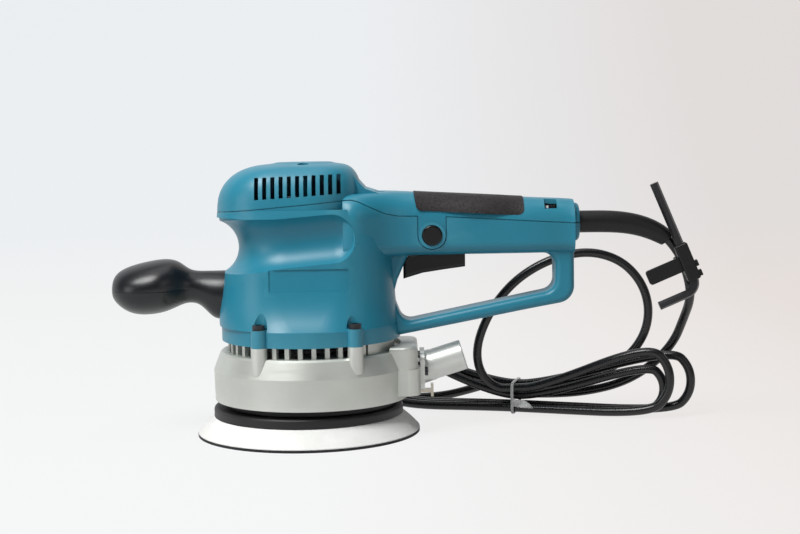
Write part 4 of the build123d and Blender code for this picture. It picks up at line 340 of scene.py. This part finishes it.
@dataclass
class FoamPad:
    """The foam under the pad plate, in millimetres, with its dust holes."""

    face_radius: float = 75.0
    top_radius: float = 63.8
    bottom: float = 1.6
    top: float = 13.0
    crown: float = 0.5
    edge: float = 0.7
    edge_inset: float = 0.1
    edge_rise: float = 0.21
    flank_inset: float = 0.105
    flank_trim: float = 0.98
    flank_steps: int = 10
    centre_hole: float = 9.0
    hole_radius: float = 4.0
    hole_circle: float = 46.0
    holes: int = 8
    hole_sides: int = 32
    overrun: float = 4.0
    turns: int = 160
    crease: float = 40.0

    def profile(self) -> list[tuple[float, float]]:
        """Draw the foam's half section, with eased edges and a side that swells a little.

        Returns:
            Its corners as radius and height.
        """
        points = [(self.centre_hole, self.bottom), (self.face_radius - self.edge, self.bottom)]
        points.append((self.face_radius - self.edge_inset, self.bottom + self.edge_rise))
        for i in range(self.flank_steps + 1):
            along = i / self.flank_steps
            radius = self.face_radius + (self.top_radius - self.face_radius) * along
            swell = self.crown * math.sin(math.pi * along)
            height = self.bottom + self.edge + (self.top - self.bottom - self.flank_trim) * along
            points.append((radius + swell - self.flank_inset, height))
        points.append((self.top_radius - self.edge, self.top))
        points.append((self.centre_hole, self.top))
        return points

    def lathe(self) -> bpy.types.Object:
        """Turn the half section about the pad's axis.

        Returns:
            The foam, still without its dust holes.
        """
        mesh = bpy.data.meshes.new("foam")
        made = bmesh.new()
        rings = []
        for i in range(self.turns):
            angle = 2 * math.pi * i / self.turns
            ring = []
            for radius, height in self.profile():
                place = (radius * MM * math.cos(angle), radius * MM * math.sin(angle), height * MM)
                ring.append(made.verts.new(place))
            rings.append(ring)
        for i, ring in enumerate(rings):
            after = rings[(i + 1) % self.turns]
            for j in range(len(ring)):
                k = (j + 1) % len(ring)
                made.faces.new((ring[j], after[j], after[k], ring[k]))
        bmesh.ops.recalc_face_normals(made, faces=made.faces)
        made.to_mesh(mesh)
        made.free()
        return bpy.data.objects.new("foam_blank", mesh)

    def drills(self) -> bpy.types.Object:
        """Set out the cylinders that the dust holes are cut with.

        Returns:
            All the cylinders as one object.
        """
        mesh = bpy.data.meshes.new("drills")
        made = bmesh.new()
        radius = self.hole_radius * MM
        depth = (self.top - self.bottom + self.overrun) * MM
        for i in range(self.holes):
            angle = 2 * math.pi * i / self.holes
            x, y = self.hole_circle * math.cos(angle), self.hole_circle * math.sin(angle)
            place = Matrix.Translation((x * MM, y * MM, (self.bottom + self.top) / 2 * MM))
            bmesh.ops.create_cone(
                made, cap_ends=True, segments=self.hole_sides, radius1=radius, radius2=radius, depth=depth,
                matrix=place,
            )
        made.to_mesh(mesh)
        made.free()
        return bpy.data.objects.new("drills", mesh)

    def build(self, wardrobe: Wardrobe) -> bpy.types.Object:
        """Cut the holes, dress the foam and put it on the pad.

        Args:
            wardrobe: Where the finish comes from.

        Returns:
            The foam.
        """
        blank = self.lathe()
        drills = self.drills()
        scene = bpy.context.scene
        scene.collection.objects.link(blank)
        scene.collection.objects.link(drills)
        cut = blank.modifiers.new("holes", "BOOLEAN")
        cut.object = drills
        cut.operation = "DIFFERENCE"
        graph = bpy.context.evaluated_depsgraph_get()
        mesh = bpy.data.meshes.new_from_object(blank.evaluated_get(graph))
        mesh.name = "foam_cut"
        bpy.data.objects.remove(blank)
        bpy.data.objects.remove(drills)
        foam = bpy.data.objects.new("foam_pad", mesh)
        scene.collection.objects.link(foam)
        mesh.shade_smooth()
        mesh.set_sharp_from_angle(angle=math.radians(self.crease))
        wardrobe.dress(foam, PAD_FOAM)
        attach(foam, "pad")
        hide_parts("pad_foam")
        LOG.info("foam pad: %d faces", len(mesh.polygons))
        return foam


@dataclass
class DialMarks:
    """The printed scale round the speed dial's rim, whose first bar, in the dial's window, is also a painted
    highlight, in millimetres and degrees.
    """

    axis: tuple[float, float] = (163.95, 0.0)
    inner: float = 11.0
    outer: float = 11.58
    bottom: float = 149.2
    top: float = 150.9
    # The first and widest bar faces the dial's window: a painted highlight there as well as a mark of the
    # scale.
    first: float = 259.0
    spacing: float = 54.0
    widths: tuple[float, ...] = (9.0, 7.0, 5.0, 4.0, 3.0, 2.0)
    slices: int = 4

    def bar(self, made: bmesh.types.BMesh, middle: float, width: float) -> None:
        """Add one closed curved bar.

        Args:
            made: The mesh that gets the bar.
            middle: The angle of its middle.
            width: The angle that it covers.
        """
        section = (
            (self.inner, self.bottom), (self.outer, self.bottom),
            (self.outer, self.top), (self.inner, self.top),
        )
        rows = []
        for i in range(self.slices + 1):
            angle = math.radians(middle - width / 2 + width * i / self.slices)
            row = []
            for radius, height in section:
                x = self.axis[0] + radius * math.cos(angle)
                y = self.axis[1] + radius * math.sin(angle)
                row.append(made.verts.new((x * MM, y * MM, height * MM)))
            rows.append(row)
        for near, far in zip(rows, rows[1:]):
            for j in range(len(section)):
                k = (j + 1) % len(section)
                made.faces.new((near[j], near[k], far[k], far[j]))
        made.faces.new(rows[0][::-1])
        made.faces.new(rows[-1])

    def build(self, wardrobe: Wardrobe) -> bpy.types.Object:
        """Print the bars, the first of them also a painted highlight in the dial's window, and put them on
        the dial.

        Args:
            wardrobe: Where the finish comes from.

        Returns:
            The scale.
        """
        mesh = bpy.data.meshes.new("dial_scale")
        made = bmesh.new()
        for i, width in enumerate(self.widths):
            self.bar(made, self.first - self.spacing * i, width)
        bmesh.ops.recalc_face_normals(made, faces=made.faces)
        made.to_mesh(mesh)
        made.free()
        scale = bpy.data.objects.new("dial_scale", mesh)
        bpy.context.scene.collection.objects.link(scale)
        wardrobe.dress(scale, PRINTED_INK_AND_HIGHLIGHT)
        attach(scale, "speed_dial")
        LOG.info("dial scale: %d bars", len(self.widths))
        return scale


@dataclass
class TiedCord:
    """The cord from the guard through its tied hank and standing loop to the plug, in millimetres."""

    diameter: float = 6.2
    length: float = 2160.0
    exit: tuple[float, float, float] = (243.5, 0.0, 126.3)
    tie: tuple[float, float] = (144.5, 56.0)
    turn: float = -15.1
    step: float = 7.0
    first_row: float = 4.8
    floor: float = 3.2
    right_lobes: tuple = ((123.0, 47.0), (105.0, 37.0), (110.0, 51.4))
    left_lobes: tuple = ((100.0, 45.0), (97.0, 43.0), (101.0, 46.0))
    left_upper: float = -14.0
    left_lower: float = -16.0
    right_lower: float = 12.0
    right_upper: float = 20.0
    left_lift: float = 0.6
    right_lift: float = 1.5
    lane_share: float = 0.3
    half_corner: float = 22.5
    plug: tuple[float, float, float] = (14.0, 107.5, 12.0)
    section_steps: int = 9
    route_steps: int = 14

    def place(self, u: float, v: float, z: float) -> tuple[float, float, float]:
        """Turn a point from the hank's own directions to the frame's.

        Args:
            u: How far along the hank, from the tie.
            v: How far behind the hank's middle.
            z: How high above the floor.

        Returns:
            The point in the frame.
        """
        angle = math.radians(self.turn)
        x = self.tie[0] + u * math.cos(angle) - v * math.sin(angle)
        y = self.tie[1] + u * math.sin(angle) + v * math.cos(angle)
        return x, y, z

    def lane(self, index: int) -> float:
        """Return how far behind the hank's middle a lane lies."""
        return (1.5 - index) * self.step

    def row(self, index: int) -> float:
        """Return the height of a row of strands at the tie."""
        return self.first_row + index * self.step

    def upper_row(self, index: int) -> int:
        """Return the row at the tie of a loop's upper strand, the third and the second by turns."""
        return 2 - index % 2

    def lead(self) -> list[tuple[float, float, float]]:
        """Set out the route from the guard to the tie.

        Returns:
            The control points of that stretch.
        """
        free = [self.exit, (250.5, 0.0, 119.0), (257.6, 1.6, 101.8), (261.0, 8.0, 85.5)]
        bound = [
            (118.0, 1.5, 68.0), (110.5, 11.5, 50.5), (95.0, 13.5, 33.5), (74.0, 13.6, 20.5),
            (48.0, 12.0, 13.8), (22.0, 10.6, 11.7), (0.0, self.lane(0), self.row(1)),
        ]
        return free + [self.place(*point) for point in bound]

    def lobe(self, side: int, reach: float, height: float, lane: float) -> list[tuple[float, float, float]]:
        """Set out one rounded end of the hank, as half an octagon round its bend.

        Args:
            side: 1 at the right end, -1 at the left end.
            reach: How far the end lies from the tie.
            height: How high the upper strand lies there.
            lane: The lane of the loop.

        Returns:
            Points from the upper strand to the lower at the left, and upwards at the right.
        """
        bend = (height - self.floor) / 2
        middle = self.floor + bend
        reached = bend / math.cos(math.radians(self.half_corner))
        made = []
        for corner in (3, 1, -1, -3):
            angle = math.radians(corner * self.half_corner)
            along = reach - bend + reached * math.cos(angle)
            up = middle + side * -reached * math.sin(angle)
            made.append(self.place(side * along, lane, up))
        return made

    def hank(self) -> list[tuple[float, float, float]]:
        """Set out the loops of the hank, twelve points a turn.

        Returns:
            The control points from the tie round all the loops.
        """
        made = []
        pairs = zip(self.left_lobes, self.right_lobes)
        for i, ((left, left_height), (right, right_height)) in enumerate(pairs):
            lane, after = self.lane(i), self.lane(i + 1)
            entry = 1 if i == 0 else self.upper_row(i - 1)
            made.append(self.place(self.left_upper, lane, self.row(entry) + self.left_lift))
            made += self.lobe(-1, left, left_height, lane)
            made.append(self.place(self.left_lower, after + self.lane_share * self.step, self.row(0)))
            made.append(self.place(self.right_lower, after, self.row(0)))
            made += self.lobe(1, right, right_height, after)
            made.append(self.place(self.right_upper, after, self.row(self.upper_row(i)) + self.right_lift))
        return made

    def loop(self) -> list[tuple[float, float, float]]:
        """Set out the one loop that stands up behind the handle.

        Returns:
            The control points from the tie round the loop.
        """
        bound = [
            (0.0, self.lane(3), self.row(2)), (-10.5, -10.8, 18.4), (-19.5, -12.4, 24.5),
            (-24.5, -13.4, 35.0), (-25.0, -13.6, 48.0), (-20.5, -13.0, 63.0), (-11.0, -11.6, 80.5),
            (4.5, -8.6, 97.5), (26.0, -4.0, 110.0), (51.0, 2.0, 115.6), (73.0, 8.0, 109.5),
            (87.5, 12.0, 94.5), (93.5, 13.8, 76.0), (91.0, 13.8, 57.0), (80.0, 13.2, 40.5),
            (62.5, 12.4, 28.8), (42.0, 11.2, 22.0), (21.0, 10.5, 18.8),
        ]
        return [self.place(*point) for point in bound]

    def tail(self) -> list[tuple[float, float, float]]:
        """Set out the route from the tie to the plug, behind the base.

        Returns:
            The control points of that stretch.
        """
        bound = [
            (0.0, self.lane(0), self.row(2)), (-12.0, 12.4, 18.9), (-25.0, 18.0, 16.2),
            (-40.0, 23.5, 10.8), (-57.0, 26.5, 5.8), (-75.0, 27.0, 3.6),
        ]
        x, y, z = self.plug
        floor = [(61.0, y - 2.2, 3.5), (44.5, y - 0.5, 6.6), (x + 15.0, y, z), (x, y, z)]
        return [self.place(*point) for point in bound] + floor

    def build(self, wardrobe: Wardrobe, tie: bpy.types.Object) -> bpy.types.Object:
        """Args:
            wardrobe: Where the finish comes from.
            tie: What holds the hank; not used.

        Returns:
            The cord.
        """
        points = self.lead() + self.hank() + self.loop() + self.tail()
        curve = bpy.data.curves.new("cord", "CURVE")
        curve.dimensions = "3D"
        curve.bevel_depth = self.diameter / 2 * MM
        curve.bevel_resolution = self.section_steps
        curve.resolution_u = self.route_steps
        curve.use_fill_caps = True
        spline = curve.splines.new("NURBS")
        spline.points.add(len(points) - 1)
        for point, (x, y, z) in zip(spline.points, points):
            point.co = (x * MM, y * MM, z * MM, 1.0)
        spline.order_u = 3
        spline.use_endpoint_u = True
        cord = bpy.data.objects.new("cord", curve)
        bpy.context.scene.collection.objects.link(cord)
        wardrobe.dress(cord, CORD_SHEATH)
        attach(cord, "housing")
        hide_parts("cord_lead", "cord_hank", "cord_loop", "cord_tail")
        LOG.info("cord: %d points", len(points))
        return cord


@dataclass
class TwistTie:
    """The white ribbon round the hank's waist, its two ends twisted together, in millimetres and turns."""

    hank: TiedCord
    width: float = 2.0
    thickness: float = 0.9
    half_width: float = 14.4
    half_height: float = 10.9
    middle: float = 11.8
    corner: float = 4.0
    corner_steps: int = 6
    tail_foot: tuple[float, float, float] = (0.6, -16.9, 9.0)
    tail_reach: tuple[float, float, float] = (14.5, -3.4, -2.2)
    tail_width: float = 5.5
    tail_thickness: float = 0.8
    tail_start: float = 0.12
    tail_turns: float = 0.42
    tail_arch: float = 1.2
    tail_steps: int = 44
    section: tuple = ((-1, -1), (1, -1), (1, 0.6), (0, 1), (-1, 0.6))
    crease: float = 35.0

    def heading(self, u: float, v: float, z: float) -> Vector:
        """Return a heading given along the hank, behind it and upwards."""
        return Vector(self.hank.place(u, v, z)) - Vector(self.hank.place(0.0, 0.0, 0.0))

    def waist(self) -> list[tuple[Vector, Vector, Vector]]:
        """Lead the ribbon round the waist.

        Returns:
            Its places, sides and outward headings.
        """
        side, across, up = self.heading(1, 0, 0), self.heading(0, 1, 0), Vector((0, 0, 1))
        rows = []
        for quarter, (right, above) in enumerate(((1, 1), (-1, 1), (-1, -1), (1, -1))):
            v = right * (self.half_width - self.corner)
            z = self.middle + above * (self.half_height - self.corner)
            centre = Vector(self.hank.place(0.0, v, z))
            for i in range(self.corner_steps + 1):
                angle = math.radians(90 * (quarter + i / self.corner_steps))
                out = across * math.cos(angle) + up * math.sin(angle)
                rows.append((centre + out * self.corner, side, out))
        return rows

    def tail(self) -> list[tuple[Vector, Vector, Vector]]:
        """Lead the two ends out together and turn them.

        Returns:
            Their places, sides and faces.
        """
        foot = Vector(self.hank.place(*self.tail_foot))
        reach = self.heading(*self.tail_reach)
        first = reach.cross(Vector((0, 0, 1))).normalized()
        second = first.cross(reach).normalized()
        rows = []
        for i in range(self.tail_steps + 1):
            along = i / self.tail_steps
            turn = 2 * math.pi * (self.tail_start + self.tail_turns * along)
            arch = second * (self.tail_arch * math.sin(math.pi * along))
            side = first * math.cos(turn) + second * math.sin(turn)
            face = second * math.cos(turn) - first * math.sin(turn)
            rows.append((foot + reach * along + arch, side, face))
        return rows

    def ribbon(
        self, made: bmesh.types.BMesh, rows: list, width: float, thickness: float, closed: bool
    ) -> None:
        """Add one flat ribbon.

        Args:
            made: The mesh that gets the ribbon.
            rows: Its places, sides and faces.
            width: How wide it is.
            thickness: How thick it is.
            closed: Whether its end joins its start.
        """
        rings = []
        for place, side, face in rows:
            ring = []
            for across, through in self.section:
                offset = side * (across * width / 2) + face * (through * thickness / 2)
                ring.append(made.verts.new((place + offset) * MM))
            rings.append(ring)
        count = len(self.section)
        after = rings[1:] + rings[:1] if closed else rings[1:]
        for near, far in zip(rings, after):
            for j in range(count):
                k = (j + 1) % count
                made.faces.new((near[j], near[k], far[k], far[j]))
        if not closed:
            made.faces.new(rings[0][::-1])
            made.faces.new(rings[-1])

    def build(self, wardrobe: Wardrobe) -> bpy.types.Object:
        """Make the tie and put it on the hank.

        Args:
            wardrobe: Where the finish comes from.

        Returns:
            The tie.
        """
        mesh = bpy.data.meshes.new("twist_tie")
        made = bmesh.new()
        self.ribbon(made, self.waist(), self.width, self.thickness, closed=True)
        self.ribbon(made, self.tail(), self.tail_width, self.tail_thickness, closed=False)
        bmesh.ops.recalc_face_normals(made, faces=made.faces)
        made.to_mesh(mesh)
        made.free()
        mesh.shade_smooth()
        mesh.set_sharp_from_angle(angle=math.radians(self.crease))
        tie = bpy.data.objects.new("twist_tie", mesh)
        bpy.context.scene.collection.objects.link(tie)
        wardrobe.dress(tie, WHITE_NYLON)
        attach(tie, "housing")
        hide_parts("cord_tie")
        LOG.info("tie: %d faces", len(mesh.polygons))
        return tie


@dataclass
class Studio:
    """The pale sweep, the soft boxes and the camera, in metres and degrees."""

    sweep_width: float = 20.0
    sweep_front: float = -10.0
    sweep_rise: float = 0.75
    sweep_radius: float = 0.9
    sweep_height: float = 2.6
    sweep_steps: int = 16
    # The glow's tones carry painted light and shade: lit and cool at the left, shaded and warm towards the
    # right, and paler on the floor than on the wall.
    shaded_warm_reach: float = 0.5
    floor_reach: float = 0.06
    wall_lit_cool: str = "#F9FCFF"
    wall_shaded_warm: str = "#EEE9E7"
    floor_lit_cool: str = "#FEFFFF"
    floor_shaded_warm: str = "#F3EBE7"
    paper_matt: str = "#B4B4B6"
    paper_glow: float = 0.84
    camera_place: tuple[float, float, float] = (0.0634, -1.073, 0.211)
    pitch: float = 5.35
    roll: float = -1.01
    lens: float = 72.0
    sensor: float = 36.0
    world_tone: str = "#F4F3F5"
    world_light: float = 0.14
    lamp_aim: tuple[float, float, float] = (0.05, 0.0, 0.08)
    lamps: tuple = (
        ("key", (-0.55, -0.7, 1.4), 0.7, 23.5),
        ("side", (-1.2, -0.8, 0.4), 0.6, 3.2),
        ("fill", (1.1, -1.2, 0.7), 0.9, 1.8),
        ("top", (0.0, 0.1, 1.4), 1.0, 4.0),
    )

    def sweep(self) -> bpy.types.Object:
        """Hang the paper sweep that is both floor and background.

        Returns:
            The sweep.
        """
        profile = [(self.sweep_front, 0.0), (self.sweep_rise, 0.0)]
        for i in range(1, self.sweep_steps + 1):
            angle = math.radians(90 * i / self.sweep_steps)
            rise = self.sweep_radius * (1 - math.cos(angle))
            profile.append((self.sweep_rise + self.sweep_radius * math.sin(angle), rise))
        profile.append((self.sweep_rise + self.sweep_radius, self.sweep_height))
        mesh = bpy.data.meshes.new("paper_sweep")
        made = bmesh.new()
        half = self.sweep_width / 2
        rows = [[made.verts.new((side * half, y, z)) for side in (-1, 1)] for y, z in profile]
        for low, high in zip(rows, rows[1:]):
            made.faces.new((low[0], low[1], high[1], high[0]))
        made.to_mesh(mesh)
        made.free()
        mesh.shade_smooth()
        sweep = bpy.data.objects.new("paper_sweep", mesh)
        bpy.context.scene.collection.objects.link(sweep)
        mesh.materials.append(self.paper_material())
        return sweep

    def paper_material(self) -> bpy.types.Material:
        """Build matt seamless paper, which glows a little to the camera and still takes shadows. Its glow
        carries painted light and shade: lit and cool at the left and on the floor, shaded and warm towards
        the right.

        Returns:
            The paper's material.
        """
        made = bpy.data.materials.new("seamless_paper")
        made.use_nodes = True
        tree = made.node_tree
        tree.nodes.clear()
        place = add_node(tree, "ShaderNodeTexCoord", {}, {}).outputs["Object"]
        parts = add_node(tree, "ShaderNodeSeparateXYZ", {}, {"0": place}).outputs
        across = add_node(tree, "ShaderNodeMapRange", {"in:2": self.shaded_warm_reach}, {"0": parts[0]}).outputs[0]
        up = add_node(tree, "ShaderNodeMapRange", {"in:2": self.floor_reach}, {"0": parts[2]}).outputs[0]
        # Painted light and shade: the glow runs from a lit cool tone at the left to a shaded warm tone at the
        # right, paler on the floor.
        wall = {"data_type": "RGBA", "in:6": linear(self.wall_lit_cool), "in:7": linear(self.wall_shaded_warm)}
        wall_tone = add_node(tree, "ShaderNodeMix", wall, {"0": across}).outputs[2]
        floor = {"data_type": "RGBA", "in:6": linear(self.floor_lit_cool), "in:7": linear(self.floor_shaded_warm)}
        floor_tone = add_node(tree, "ShaderNodeMix", floor, {"0": across}).outputs[2]
        both = {"0": up, "6": floor_tone, "7": wall_tone}
        tone = add_node(tree, "ShaderNodeMix", {"data_type": "RGBA"}, both).outputs[2]
        path = add_node(tree, "ShaderNodeLightPath", {}, {}).outputs
        rays = add_node(tree, "ShaderNodeMath", {}, {"0": path["Is Camera Ray"], "1": path["Is Glossy Ray"]})
        seen = {"0": rays.outputs[0], "1": path["Is Transmission Ray"]}
        rays = add_node(tree, "ShaderNodeMath", {"use_clamp": True}, seen)
        share = {"operation": "MULTIPLY", "in:1": self.paper_glow}
        glow_share = add_node(tree, "ShaderNodeMath", share, {"0": rays.outputs[0]}).outputs[0]
        matt = add_node(tree, "ShaderNodeBsdfDiffuse", {"in:Color": linear(self.paper_matt)}, {})
        glow = add_node(tree, "ShaderNodeEmission", {}, {"Color": tone})
        sockets = {"0": glow_share, "1": matt.outputs[0], "2": glow.outputs[0]}
        mixed = add_node(tree, "ShaderNodeMixShader", {}, sockets)
        add_node(tree, "ShaderNodeOutputMaterial", {}, {"Surface": mixed.outputs[0]})
        return made

    def light(self) -> None:
        """Hang the soft boxes and set the even light of the room."""
        for name, place, size, power in self.lamps:
            lamp = bpy.data.lights.new(name, "AREA")
            lamp.shape = "SQUARE"
            lamp.size = size
            lamp.energy = power
            held = bpy.data.objects.new(name, lamp)
            held.location = place
            aim = Vector(self.lamp_aim) - Vector(place)
            held.rotation_euler = aim.to_track_quat("-Z", "Y").to_euler()
            bpy.context.scene.collection.objects.link(held)
        world = bpy.data.worlds.new("room")
        world.use_nodes = True
        tree = world.node_tree
        tree.nodes.clear()
        settings = {"in:Color": linear(self.world_tone), "in:Strength": self.world_light}
        room = add_node(tree, "ShaderNodeBackground", settings, {})
        add_node(tree, "ShaderNodeOutputWorld", {}, {"Surface": room.outputs[0]})
        bpy.context.scene.world = world

    def camera(self) -> bpy.types.Object:
        """Set up the camera at the photograph's place.

        Returns:
            The camera.
        """
        lens = bpy.data.cameras.new("camera")
        lens.lens = self.lens
        lens.sensor_width = self.sensor
        held = bpy.data.objects.new("camera", lens)
        tilt = Euler((math.radians(90 - self.pitch), 0, 0)).to_matrix()
        twist = Matrix.Rotation(math.radians(self.roll), 3, "Z")
        held.matrix_world = Matrix.Translation(self.camera_place) @ (tilt @ twist).to_4x4()
        bpy.context.scene.collection.objects.link(held)
        bpy.context.scene.camera = held
        return held

    def build(self) -> None:
        """Set up the sweep, the light, the camera and the plain view transform."""
        self.sweep()
        self.light()
        self.camera()
        bpy.context.scene.view_settings.view_transform = "Standard"
        LOG.info("studio ready")


def main() -> None:
    """Build the studio, dress the nodes, and add the foam, the dial's scale, the tie and the cord."""
    logging.basicConfig(level=logging.INFO, format="%(name)s: %(message)s")
    Studio().build()
    wardrobe = Wardrobe()
    wardrobe.dress_nodes()
    FoamPad().build(wardrobe)
    DialMarks().build(wardrobe)
    cord = TiedCord()
    tie = TwistTie(cord).build(wardrobe)
    cord.build(wardrobe, tie)


if __name__ == "__main__":
    main()
